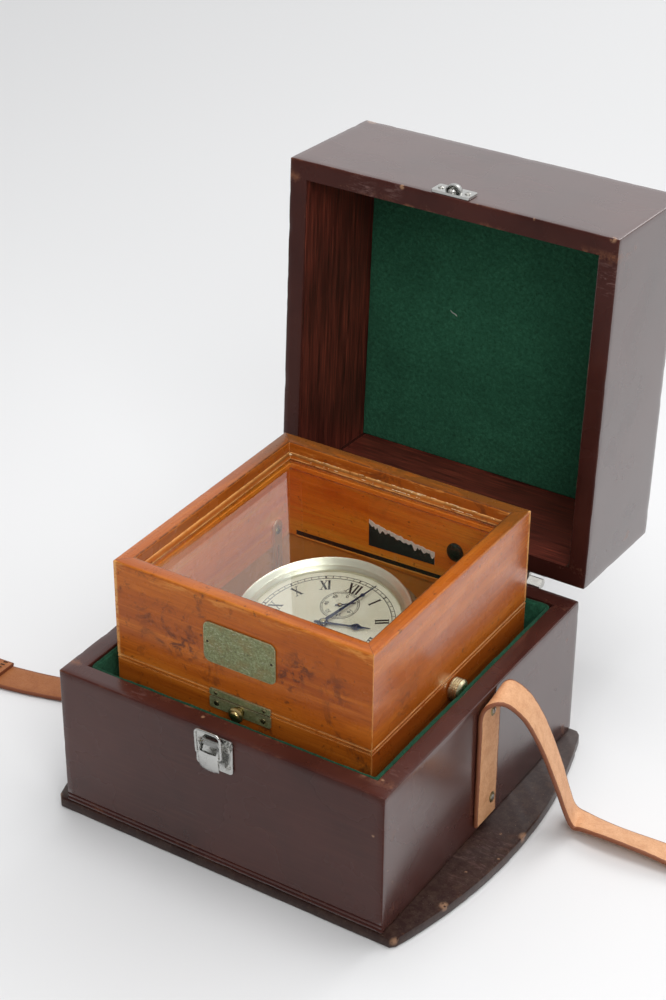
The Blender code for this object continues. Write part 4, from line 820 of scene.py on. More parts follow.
def build_felt():
    """Baize glued to the walls and floor of the case, and to the lid's panel."""
    low, high = extent("case_felt_liner")
    half_x, half_y = high.x, high.y
    thick = 2.5
    radius = 4.0
    path = rounded(half_x, half_y, radius)
    loop = []
    for i, point in enumerate(path):
        after = path[(i + 1) % len(path)]
        run = math.dist(point, after)
        pieces = max(1, round(run / 3.0))
        loop += [(point[0] + (after[0] - point[0]) * s / pieces, point[1] + (after[1] - point[1]) * s / pieces)
                 for s in range(pieces)]
    section = [(0.0, low.z), (0.0, 40.0), (0.0, 75.0), (0.0, 96.0), (0.0, 104.0), (0.1, high.z - 0.9),
               (0.7, high.z - 0.2), (1.5, high.z - 0.25), (2.3, high.z - 0.9), (thick, high.z - 2.5),
               (thick, 104.0), (thick, 96.0), (thick, 75.0), (thick, 40.0), (thick, low.z)]
    bm = bmesh.new()
    rings = []
    for x, y in loop:
        inward = Vector((-(x - max(-half_x + radius, min(half_x - radius, x))),
                         -(y - max(-half_y + radius, min(half_y - radius, y))), 0.0)).normalized()
        ring = []
        for inset, z in section:
            point = Vector((x, y, z)) + inward * inset
            if z > low.z + 1.0:
                sway = noise.noise(point * 0.055)
                point += inward * (0.45 + 0.45 * sway) * (0.0 if inset < 0.05 else 1.0)
                if z > high.z - 3.0:
                    point.z += 0.45 * noise.noise(Vector((x, y, 0.0)) * 0.21) - 0.35 + 0.3 * sway
            ring.append(bm.verts.new(point))
        rings.append(ring)
    quads(bm, rings, along=True)
    finish("case_felt_walls", bm, felt, "case", replaces=["case_felt_liner"], smooth=60.0)
    inset = thick + 0.6
    bm = grid_box((-half_x + inset, -half_y + inset, low.z), (half_x - inset, half_y - inset, low.z + 2.6), 9.0)
    wobble(bm, 0.12, 0.05, keep=lambda co: co.z < low.z + 0.5)
    finish("case_felt_floor", bm, felt, "case", smooth=60.0)

    low, high = extent("lid_felt_pad", LID)
    bm = grid_box(low + Vector((0.3, 0.3, 0.0)), high - Vector((0.3, 0.3, 0.0)), 3.0)
    for vert in bm.verts:
        if vert.co.z < low.z + 0.5:
            edge = min(high.x - abs(vert.co.x), high.y - abs(vert.co.y))
            fold = math.exp(-((vert.co.y - 84.0 - 4.0 * noise.noise(vert.co * 0.02)) / 5.0) ** 2)
            vert.co.z += 0.8 * math.exp(-edge / 1.2) + 0.22 * noise.noise(vert.co * 0.045) - 0.45 * fold
    finish("lid_felt", bm, felt_lid_shaded, "outer_lid", LID, ["lid_felt_pad"], smooth=60.0)
    speck = wire(curve_through([(-39.0, -5.2, low.z - 0.15), (-37.2, -3.9, low.z - 0.5),
                                (-35.2, -3.2, low.z - 0.2), (-33.8, -2.0, low.z - 0.1)], 5), 0.22, 6)
    finish("lid_felt_lint", speck, plain("lint", (0.62, 0.66, 0.62), 0.8), "outer_lid", LID)


build_boards()
build_base()
build_felt()

# ---------------------------------------------------------------- glazed box

HALF_W, HALF_D = 92.5, 94.35  # half of the box's width and depth
SEAM = 113.4  # the height at which the tray and the glazed lid meet
BOX_TOP = 184.5
RAIL = 9.8  # the thickness of the glazed lid's sides
INNER_W, INNER_D = HALF_W - RAIL, HALF_D - RAIL
GLASS_TOP = 173.7
PLATE_Z, LOCK_Z, KEEPER_Z = 151.7, 108.8, 116.1  # the middles of the nameplate, the lock plate and its keeper
LOCK_THICK = 1.2

# Its lines are painted highlights along the chamfer and the groove at the seam.
box_wood = mahogany(
    "mahogany_box", HALF_W, HALF_D, lines=((113.6, 0.55, 0.9), (116.5, 0.6, 0.85)),
    stains=(((-43.0, -94.4, 141.0), 17.0, 0.8), ((-55.0, -94.4, 160.0), 13.0, 0.6),
            ((35.0, -94.4, 146.0), 13.0, 0.85), ((44.0, -94.4, 158.0), 14.0, 0.7), ((66.0, -94.4, 150.0), 16.0, 0.5),
            ((-20.0, -94.4, 130.0), 12.0, 0.5), ((92.5, -60.0, 131.0), 14.0, 0.5)))
# A copy of the mahogany lightened 2.1 times for the inside of the box under the glass: painted light.
inner_wood_lit = mahogany("mahogany_inside_lit", HALF_W, HALF_D, 0.2, 0.5, 2.1)
# A copy for the coarse tray walls, with painted light over their inside.
tray_wood_lit_inside = mahogany("mahogany_tray_lit_inside", HALF_W, HALF_D, dense=False)
# A copy of the mahogany darkened to 0.8 for the rebate above the glass and its bead: painted shade.
rebate_wood_shaded = mahogany("mahogany_rebate_shaded", HALF_W, HALF_D, 0.4, 1.0, 0.80)
plate_patina = verdigris("aged_brass_plates", 1.0)
lock_patina = verdigris("aged_brass_lock", 0.55)
yellow_brass = metal("aged_brass_knobs", (0.60, 0.46, 0.20), (0.24, 0.42),
                     ((0.16, 0.14, 0.06), (0.36, 0.33, 0.17)), 0.30, worn=0.7)
knob_brass = metal("aged_brass_knob_pale", (0.74, 0.66, 0.42), (0.24, 0.38),
                   ((0.20, 0.18, 0.09), (0.42, 0.40, 0.24)), 0.18, worn=0.7)
dark_brass = metal("aged_brass_dark", (0.30, 0.25, 0.13), (0.30, 0.46),
                   ((0.05, 0.055, 0.035), (0.15, 0.15, 0.09)), 0.42, worn=0.8)
pale_brass = metal("polished_brass_pale", (0.90, 0.90, 0.74), (0.34, 0.38), grit=0.0000015, dull=0.12)
bright = metal("chrome_fittings", (0.53, 0.53, 0.51), (0.12, 0.34), ((0.14, 0.13, 0.11), (0.36, 0.34, 0.29)), 0.16)
steel = metal("bright_steel_screws", (0.50, 0.49, 0.46), (0.26, 0.44),
              ((0.06, 0.045, 0.035), (0.16, 0.12, 0.09)), 0.16)


def frame_mesh(half_x, half_y, profile):
    """A mitred frame. The profile is a loop of (inset, height) points."""
    step = 3.0
    bm = bmesh.new()
    rings = []
    for inset, height in profile:
        x, y = half_x - inset, half_y - inset
        corners = [(x, y), (-x, y), (-x, -y), (x, -y)]
        ring = []
        for k, (a, b) in enumerate(zip(corners, corners[1:] + corners[:1])):
            count = round(2 * (half_x if k % 2 == 0 else half_y) / step)
            ring += [bm.verts.new((a[0] + (b[0] - a[0]) * s / count, a[1] + (b[1] - a[1]) * s / count, height))
                     for s in range(count)]
        rings.append(ring)
    quads(bm, rings, along=True)
    bmesh.ops.recalc_face_normals(bm, faces=bm.faces)
    bm.normal_update()
    return bm


def build_glazed_lid():
    """The glazed lid's frame, bead, putty, label, slot, stud and plates. The slot is a dark sheet on the back wall: a
    painted shadow.
    """
    low = SEAM + 0.15
    ease = 1.0
    profile = [(0.3, low), (0.0, low + 0.3), (0.0, low + 1.9), (0.5, low + 2.4), (0.0, low + 2.9),
               (0.0, low + 3.6), (0.0, 137.0), (0.0, 161.0), (0.0, BOX_TOP - 2.0)]
    profile += [(ease - x, BOX_TOP - ease + y) for x, y in circle((0.0, 0.0), ease, 5, 0.0, math.pi / 2)]
    profile += [(RAIL - ease + x, BOX_TOP - ease + y)
                for x, y in circle((0.0, 0.0), ease, 5, math.pi / 2, -math.pi / 2)]
    profile += [(RAIL, 178.0), (RAIL, 170.6), (RAIL + 3.2, 170.6), (RAIL + 3.2, 167.6), (RAIL, 164.6),
                (RAIL, 137.0), (RAIL, low)]
    bm = frame_mesh(HALF_W, HALF_D, profile)
    for vert in bm.verts:
        if vert.co.z > BOX_TOP - ease - 0.1:
            knock(vert, 0.13, 0.5, 0.20, 0.22)
    # Inner faces below the glass take the lighter copy of the mahogany, painted light, and inner faces above it take
    # the darker copy, painted shade.
    for face in bm.faces:
        middle = face.calc_center_median()
        inset = min(HALF_W - abs(middle.x), HALF_D - abs(middle.y))
        if inset > RAIL - 0.4 and middle.z < BOX_TOP - 1.2 or middle.z < low + 0.01:
            face.material_index = 2 if middle.z > GLASS_TOP - 1.0 else 1
    finish("glazed_lid", bm, [box_wood, inner_wood_lit, rebate_wood_shaded], "glazed_lid",
           replaces=["glazed_lid_frame"], bevel=0.7)

    bead = [(0.05, GLASS_TOP + 0.1), (0.05, GLASS_TOP + 3.4), (0.8, GLASS_TOP + 3.3), (1.6, GLASS_TOP + 2.7),
            (2.2, GLASS_TOP + 1.8), (2.5, GLASS_TOP + 0.8), (2.6, GLASS_TOP + 0.1)]
    bm = frame_mesh(INNER_W, INNER_D, bead)
    wobble(bm, 0.12, 0.35, keep=lambda co: co.z < GLASS_TOP + 0.3)
    finish("glazing_bead", bm, rebate_wood_shaded, "glazed_lid", smooth=50.0)

    chips = bmesh.new()
    along = [random.choice((-62.0, -48.0, -20.0, 2.0, 14.0, 40.0, 68.0)) + random.gauss(0.0, 7.0) for _ in range(52)]
    spots = [(x, INNER_D - random.choice((0.1, 0.15, 0.9, 2.3)), 0) for x in along if abs(x) < 80.0]
    spots += [(INNER_W - random.uniform(0.1, 2.4), random.uniform(-60.0, 82.0), 1) for _ in range(12)]
    spots += [(INNER_W - 1.2, INNER_D - 1.4, 2), (-INNER_W + 1.4, INNER_D - 1.5, 2)]
    for x, y, kind in spots:
        inset = INNER_D - y if kind != 1 else INNER_W - x
        height = GLASS_TOP + 3.4 - 0.35 * inset ** 2
        long, thin = random.uniform(0.2, 1.0) ** 3 * 3.6 + 0.2, random.uniform(0.10, 0.36)
        made = bmesh.new()
        bmesh.ops.create_icosphere(made, subdivisions=2, radius=1.0)
        for vert in made.verts:
            vert.co *= 1.0 + 0.5 * noise.noise(vert.co * 1.7 + Vector((x, y, 0.0)))
        size = {0: (long, thin, 0.22), 1: (thin, long, 0.22), 2: (1.5, 1.0, 0.6)}[kind]
        made.transform(Matrix.Translation((x, y, height)) @ Matrix.Diagonal((*size, 1.0)))
        join(chips, made)
    finish("glazing_putty_chips", chips, plain("putty", (0.62, 0.49, 0.29), 0.75, 0.5), "glazed_lid")

    top = [(x, 145.8 - 9.0 * ((x + 20.0) / 50.0) ** 0.62 + 1.5 * noise.noise(Vector((x * 0.36, 2.0, 0.0))))
           for x in [-20.0 + 0.5 * i for i in range(101)]]
    paper = [(x, 125.6 + 0.036 * (x + 20.0)) for x in (-20.0, 5.0, 30.0)] + top[::-1]
    ink = paper[:3] + [(x, z - 1.9 - 4.4 * abs(noise.noise(Vector((x * 0.30, 7.0, 0.0))) + 0.25))
                       for x, z in top[::-1]]
    # The back slot is a thin near-black sheet on the wall: a painted shadow for the gap.
    slot = [(-77.0, 113.9), (34.0, 116.8), (40.0, 117.0), (40.0, 121.0), (34.0, 120.8), (-74.0, 118.0),
            (-77.0, 118.0)]
    edge = [(-77.0, 113.9), (40.0, 117.0), (40.0, 117.9), (-77.0, 114.8)]
    for name, outline, proud, sunk, look in (
            ("label_paper", paper, 0.22, 0.02, plain("label_paper", (0.80, 0.77, 0.70), 0.8, 0.12)),
            ("label_print", ink, 0.30, 0.20, plain("label_print", (0.010, 0.013, 0.013), 0.6, 0.4)),
            ("back_slot", slot, 0.35, 0.02, plain("slot_painted_shadow", (0.012, 0.009, 0.008), 0.5, 0.4)),
            ("back_slot_edge", edge, 0.7, 0.3, inner_wood_lit)):
        finish(name, slab(outline, INNER_D - proud, INNER_D - sunk, plane="y"), look, "glazed_lid")
    stud = turned([(0.0, 0.0), (6.0, 0.0), (6.0, 0.8), (5.2, 1.6), (3.2, 2.3), (0.0, 2.6)], 32,
                  facing((45.0, INNER_D, 142.2), (0.0, -1.0, 0.0)) @ Matrix.Diagonal((1.0, 1.12, 1.0, 1.0)))
    finish("back_stud", stud, plain("dark_stud", (0.018, 0.013, 0.011), 0.25, 0.4), "glazed_lid")

    face = -HALF_D - 0.3
    pins = [circle((x, PLATE_Z), 1.0, 16) for x in (-23.0, 23.0)]
    finish("nameplate_front", slab(rounded(25.8, 14.2, 4.5, (0.0, PLATE_Z), 8), face - 0.8, face, pins, "y"),
           plate_patina, "glazed_lid", replaces=["nameplate"], bevel=0.18)
    bm = None
    for x in (-23.0, 23.0):
        bm = turned([(0.0, -0.4), (0.95, -0.4), (0.95, 0.72), (0.7, 1.0), (0.0, 1.1)], 20,
                    facing((x, face + 0.1, PLATE_Z), (0.0, -1.0, 0.0)), bm)
    finish("nameplate_pins", bm, plain("pin_brass", (0.045, 0.035, 0.018), 0.4, 0.4, Metallic=0.6), "glazed_lid")
    finish("lock_keeper", slab(rounded(22.2, 2.3, 1.0, (0.0, KEEPER_Z)), face - LOCK_THICK, face, plane="y"),
           lock_patina, "glazed_lid", replaces=["lock_keeper_plate"], bevel=0.3)
    screws("lock_keeper_screws", [((side * 17.5, face - LOCK_THICK, KEEPER_Z), 1.3, 45.0 + side * 25.0, 0.35)
                                  for side in (-1, 1)], (0, -1, 0), dark_brass, "glazed_lid")


def build_fittings():
    """Lock plate, lock button, gimbal knob, stay screw and the small hinges' screws."""
    face = -HALF_D - 0.3
    finish("lock_plate_front", slab(rounded(22.2, 4.1, 1.2, (0.0, LOCK_Z)), face - LOCK_THICK, face,
                                    [circle((0.0, LOCK_Z), 3.4, 32)], "y"),
           lock_patina, "case", replaces=["lock_plate"], bevel=0.3)
    screws("lock_plate_screws", [((x, face - LOCK_THICK, LOCK_Z - 0.2), 1.9, 40.0 + x, 0.35) for x in (-17.0, 17.0)],
           (0, -1, 0), dark_brass, "case")
    button = [(0.0, 8.3), (1.9, 8.25), (2.8, 7.9), (3.2, 7.3), (3.3, 6.9), (4.5, 6.7), (5.1, 6.2), (5.2, 5.4),
              (4.9, 4.5), (4.2, 4.05), (3.0, 4.0), (3.0, -5.6), (0.0, -5.6)]
    finish("lock_button_cap", turned(button, 56, facing((0.0, -HALF_D, LOCK_Z), (0, -1, 0))), yellow_brass,
           "lock_button", replaces=["lock_button"])
    knob = [(0.0, 8.4), (4.6, 8.35), (5.6, 8.1), (6.4, 7.6), (6.9, 7.0), (7.45, 6.5), (7.45, 6.1), (7.0, 5.8),
            (7.0, 5.3), (7.5, 5.0), (7.5, 4.5), (7.0, 4.2), (7.0, 3.7), (7.5, 3.4), (7.5, 2.9), (7.0, 2.6),
            (7.0, 2.1), (7.4, 1.8), (7.4, 1.0), (6.8, 0.3), (2.3, 0.3), (2.3, -24.5), (1.5, -24.5),
            (1.5, -28.0), (0.0, -28.0)]
    bm = turned(knob, 72)
    for vert in bm.verts:
        if 7.2 < vert.co.xy.length < 7.6:
            turn = math.atan2(vert.co.y, vert.co.x)
            vert.co.xy *= 1.0 - 0.022 * (round(turn / math.tau * 72) % 2)
    bm.transform(facing((HALF_W, 0.0, 105.0), (1, 0, 0)))
    finish("gimbal_knob", bm, knob_brass, "gimbal_lock_knob", replaces=["gimbal_lock_knob"],
           smooth=28.0)
    screws("lid_stay_screw", [((-80.75, 68.0, 124.5), 2.4, 30.0, 0.35)], (1, 0, 0), dark_brass, "lid_stay")
    for name, body, way in (("tray_hinge_leaf", "case", -1), ("glazed_hinge_leaf", "glazed_lid", 1)):
        spots = [((side * 55.0 + offset, HALF_D + 1.5, SEAM + way * 8.0), 1.9, offset * 7, 0.35)
                 for side in (-1, 1) for offset in (-11.0, 11.0)]
        screws(f"{name}_screws", spots, (0, 1, 0), dark_brass, body)


build_glazed_lid()
build_fittings()

# ---------------------------------------------------------------- bowl, dial and hands

ROMAN = ("XII", "I", "II", "III", "IIII", "V", "VI", "VII", "VIII", "IX", "X", "XI")
DIAL = 14.6  # the height of the dial's face above the gimbal axis
SUB = 19.7  # how far the two small dials stand from the middle


def bar(bm, a, b, wide_a, wide_b, place):
    """A flat printed stroke between two points, placed on the dial with a matrix."""
    a, b = Vector(a), Vector(b)
    side = (b - a).normalized().orthogonal()
    flat_points = [a + side * wide_a / 2, a - side * wide_a / 2, b - side * wide_b / 2, b + side * wide_b / 2]
    spots = [place @ Vector((p.x, p.y, 0.0)) for p in flat_points]
    rings = [[bm.verts.new((p.x, p.y, height)) for p in spots] for height in (DIAL - 0.03, DIAL + 0.06)]
    bm.faces.new(rings[0][::-1])
    bm.faces.new(rings[1])
    quads(bm, rings)


def numeral(bm, word, radius, height, place):
    """A Roman numeral with serifs, standing on the dial with its foot to the middle."""
    place = place @ Matrix.Translation((0, radius, 0))
    advance = {"I": 2.35, "V": 4.7, "X": 4.7}
    at = -sum(advance[letter] for letter in word) / 2
    up = height / 2
    for letter in word:
        middle = at + advance[letter] / 2
        half = 1.75
        strokes = {
            "I": [((0.0, -up), (0.0, up), 1.4)],
            "V": [((-half, up), (0.0, -up), 1.45), ((half, up), (0.15, -up), 0.48)],
            "X": [((-half, up), (half, -up), 1.45), ((half, up), (-half, -up), 0.48)],
        }[letter]
        feet = set()
        for a, b, wide in strokes:
            bar(bm, (middle + a[0], a[1]), (middle + b[0], b[1]), wide, wide, place)
            feet.add(a)
            if letter != "V":
                feet.add(b)
        for x, y in sorted(feet):
            bar(bm, (middle + x - 1.05, y), (middle + x + 1.05, y), 0.42, 0.42, place)
        at += advance[letter]


def digits(bm, text, size, place):
    """A number in a plain face, centred on a place."""
    data = bpy.data.curves.new("digits", "FONT")
    data.body = text
    data.size = size
    data.align_x = "CENTER"
    data.align_y = "CENTER"
    data.extrude = 0.045
    data.offset = 0.02
    data.resolution_u = 3
    thing = bpy.data.objects.new("digits", data)
    bpy.context.scene.collection.objects.link(thing)
    mesh = bpy.data.meshes.new_from_object(thing.evaluated_get(bpy.context.evaluated_depsgraph_get()))
    mesh.transform(place @ Matrix.Translation((0, 0, DIAL + 0.03)))
    bm.from_mesh(mesh)
    bpy.data.objects.remove(thing)
    bpy.data.meshes.remove(mesh)


def ring_line(bm, radius, width, centre=(0.0, 0.0), count=180):
    """A printed circle on the dial."""
    turned([(radius - width / 2, DIAL - 0.03), (radius + width / 2, DIAL - 0.03),
            (radius + width / 2, DIAL + 0.05), (radius - width / 2, DIAL + 0.05)], count,
           Matrix.Translation((*centre, 0.0)), bm)


def build_dial():
    """The silvered dial and its print."""
    holes = [circle((0.0, 0.0), 2.7, 24), circle((0.0, SUB), 1.3, 16), circle((0.0, -SUB), 1.3, 16)]
    finish("dial_plate", slab(circle((0.0, 0.0), 53.2, 120), DIAL - 1.2, DIAL, holes), silvered("silvered_dial"),
           "bowl", BOWL, ["dial"])
    bm = bmesh.new()
    for radius in (43.3, 45.7):
        ring_line(bm, radius, 0.42)
    for minute in range(60):
        place = Matrix.Rotation(-math.tau * minute / 60, 4, "Z")
        wide = 1.0 if minute % 5 == 0 else 0.42
        bar(bm, (0.0, 43.3), (0.0, 45.7), wide, wide, place)
        for fifth in range(1, 5):
            turn = Matrix.Rotation(-math.tau * (minute + fifth / 5) / 60, 4, "Z")
            bar(bm, (0.0, 43.3), (0.0, 44.0), 0.16, 0.16, turn)
    for hour, word in enumerate(ROMAN):
        numeral(bm, word, 37.0, 8.4, Matrix.Rotation(-math.tau * hour / 12, 4, "Z"))
    for at, marks, labels in ((SUB, 56, [str(n) for n in range(0, 56, 8)]),
                              (-SUB, 60, ["60", "10", "20", "30", "40", "50"])):
        ring_line(bm, 12.6, 0.34, (0.0, at), 96)
        ring_line(bm, 11.3, 0.22, (0.0, at), 96)
        for mark in range(marks):
            long = mark % (8 if marks == 56 else 5) == 0
            place = Matrix.Translation((0, at, 0)) @ Matrix.Rotation(-math.tau * mark / marks, 4, "Z")
            bar(bm, (0.0, 11.3), (0.0, 12.6), 0.55 if long else 0.24, 0.55 if long else 0.24, place)
        for k, text in enumerate(labels):
            place = Matrix.Translation((0, at, 0)) @ Matrix.Rotation(-math.tau * k / len(labels), 4, "Z")
            digits(bm, text, 3.8, place @ Matrix.Translation((0, 8.9, 0)))
    bmesh.ops.dissolve_degenerate(bm, edges=bm.edges[:], dist=1e-4)
    finish("dial_print", bm, plain("dial_ink", (0.006, 0.006, 0.008), 0.5, 0.3, Specular_IOR_Level=0.2), "bowl",
           BOWL, smooth=0.0)


def build_bezel():
    """Bezel and crystal, turned finely, and the collets that carry the hands."""
    bezel = [(57.5, 13.8), (57.5, 20.4), (57.42, 20.8), (57.2, 21.15), (56.9, 21.35), (56.5, 21.4),
             (56.1, 21.2), (55.2, 20.45), (53.0, 18.6), (51.2, 17.1), (50.0, 16.15), (49.85, 15.9), (49.8, 15.6),
             (49.8, 15.1), (53.7, 15.1), (53.7, 13.8)]
    finish("bezel_ring", turned(bezel, 160), pale_brass, "bowl", BOWL, ["bezel"], smooth=30.0)
    pane = [(0.0, 18.6), (52.6, 18.6), (52.8, 18.9), (50.6, 20.15), (48.0, 20.35), (30.0, 20.4), (0.0, 20.4)]
    finish("crystal_pane", turned(pane, 120), clear_glass("window_glass_crystal", (0.992, 0.996, 0.988)), "bowl",
           BOWL, ["crystal"], smooth=30.0)
    collet = metal("collet_brass", (0.66, 0.60, 0.44), (0.2, 0.32))
    for body, inner, outer, low, high, at in (
            ("minute_hand", 0.6, 1.8, 17.0, 18.15, 0.0), ("hour_hand", 1.3, 2.3, 14.8, 16.75, 0.0),
            ("seconds_hand", 0.55, 1.25, 14.8, 15.95, -SUB), ("up_down_hand", 0.0, 1.25, 14.8, 15.95, SUB)):
        shape = [(inner, low), (outer, low), (outer, high - 0.25), (outer - 0.25, high), (inner, high)]
        finish(f"{body}_collet", turned(shape, 32, Matrix.Translation((0.0, at, 0.0))), collet, body,
               BOWL)


def build_hands():
    """Four blued hands: a hub, a tapered stem and, on the longer two, a spade."""
    for name, tip, tail, hub, wide, narrow, spade_at, spade_r, low, high, hole, at in (
            ("hour_hand", 31.0, 6.0, 3.2, 1.7, 1.1, 21.5, 2.7, 15.8, 16.5, 1.45, 0.0),
            ("minute_hand", 45.5, 9.0, 2.6, 2.3, 1.2, 33.5, 1.35, 17.0, 17.6, 1.2, 0.0),
            ("seconds_hand", 10.6, 3.6, 1.6, 0.7, 0.35, 0.0, 0.0, 15.0, 15.4, 0.75, -SUB),
            ("up_down_hand", 9.6, 3.0, 1.6, 0.8, 0.45, 0.0, 0.0, 15.0, 15.4, 0.75, SUB)):
        side = [(wide / 2, math.sqrt(hub ** 2 - wide ** 2 / 4))]
        if spade_r:
            for share, reach in ((0.0, 0.0), (0.18, 0.10), (0.34, 0.42), (0.5, 0.84), (0.62, 1.0), (0.76, 0.86),
                                 (0.88, 0.5), (1.0, 0.18)):
                side.append((max(narrow / 2 * (1.0 - share), 0.32) + spade_r * reach * 0.9,
                             spade_at + spade_r * (3.2 * share - 2.0)))
        side += [(0.32 if spade_r else narrow / 2, tip - 2.5), (0.12, tip)]
        start = math.asin(wide / 2 / hub)
        back = circle((0.0, 0.0), hub, 16, math.pi / 2 + start, math.pi - start - 0.35)
        front = circle((0.0, 0.0), hub, 16, -math.pi / 2 + 0.35, math.pi - start - 0.35)
        outline = side + [(-x, y) for x, y in side[::-1]] + back[1:] + [(-0.7, -tail), (0.7, -tail)] + front[:-1]
        inside = BOWL @ Matrix.Translation((0.0, at * MM, 0.0))
        back_in = inside.inverted()
        far = max((back_in @ vert.co for vert in frame["nodes"][name].data.vertices), key=lambda p: p.xy.length)
        aim = inside @ Matrix.Rotation(-math.atan2(far.x, far.y), 4, "Z")
        finish(f"{name}_blued", slab(outline, low, high, [circle((0.0, 0.0), hole, 20)]), hand_blue, name,
               aim, [name], smooth=30.0, bevel=0.12)


hand_blue = metal("blued_steel_hands", (0.040, 0.065, 0.150), (0.22, 0.36))
build_dial()
build_bezel()
build_hands()

# ---------------------------------------------------------------- straps, latch, hinges

hide = leather("tan_leather_right", (0.650, 0.345, 0.176))
hide_left = leather("tan_leather_left", (0.32, 0.112, 0.034))
thread = plain("waxed_thread", (0.085, 0.040, 0.022), 0.7, 0.4)


def strap_mesh(middles, widths, thickness):
    """A leather band with rounded edges. UV x runs across it and UV y along it."""
    section = []
    for end in (1, -1):
        for k in range(5):
            turn = end * math.pi / 2 - end * math.pi * k / 4
            section.append((end * (0.5 - 0.032) + end * 0.032 * math.cos(turn), 0.5 * math.sin(turn)))
        section += [(end * spot, -0.5 * end) for spot in (0.3, 0.1, -0.1, -0.3)]
    bm = bmesh.new()
    layer = bm.loops.layers.uv.new("UVMap")
    rings = []
    travel = [0.0]
    for i, (middle, width) in enumerate(zip(middles, widths)):
        before, after = middles[max(i - 1, 0)], middles[min(i + 1, len(middles) - 1)]
        normal = (after - before).cross(width).normalized()
        if i:
            travel.append(travel[-1] + (middle - middles[i - 1]).length)
        ring = []
        for across, through in section:
            sway = 0.10 * noise.noise(middle * 0.08 + width * across * 0.08)
            ring.append(bm.verts.new(middle + width * across * (1.0 + 0.008 * noise.noise(middle * 0.11))
                                     + normal * (thickness * through + sway)))
        rings.append(ring)
    count = len(section)
    for i, (ring, after) in enumerate(zip(rings, rings[1:])):
        for k in range(count):
            j = (k + 1) % count
            face = bm.faces.new((ring[k], ring[j], after[j], after[k]))
            for loop, (n, row) in zip(face.loops, ((k, i), (j, i), (j, i + 1), (k, i + 1))):
                loop[layer].uv = (section[n][0] + 0.5, travel[row] / 25.0)
    for ring in (rings[0], rings[-1][::-1]):
        face = bm.faces.new(ring)
        for loop in face.loops:
            loop[layer].uv = (0.97, 0.0)
    return bm


def cut(bm, tool):
    """Take one mesh away from another."""
    objects = []
    for label, each in (("cut_from", bm), ("cut_by", tool)):
        bmesh.ops.recalc_face_normals(each, faces=each.faces)
        mesh = bpy.data.meshes.new(label)
        each.to_mesh(mesh)
        each.free()
        objects.append(bpy.data.objects.new(label, mesh))
        bpy.context.scene.collection.objects.link(objects[-1])
    change = objects[0].modifiers.new("cut", "BOOLEAN")
    change.operation = "DIFFERENCE"
    change.solver = "EXACT"
    change.object = objects[1]
    mesh = bpy.data.meshes.new_from_object(objects[0].evaluated_get(bpy.context.evaluated_depsgraph_get()))
    made = bmesh.new()
    made.from_mesh(mesh)
    for thing in objects:
        bpy.data.objects.remove(thing)
    bpy.data.meshes.remove(mesh)
    return made


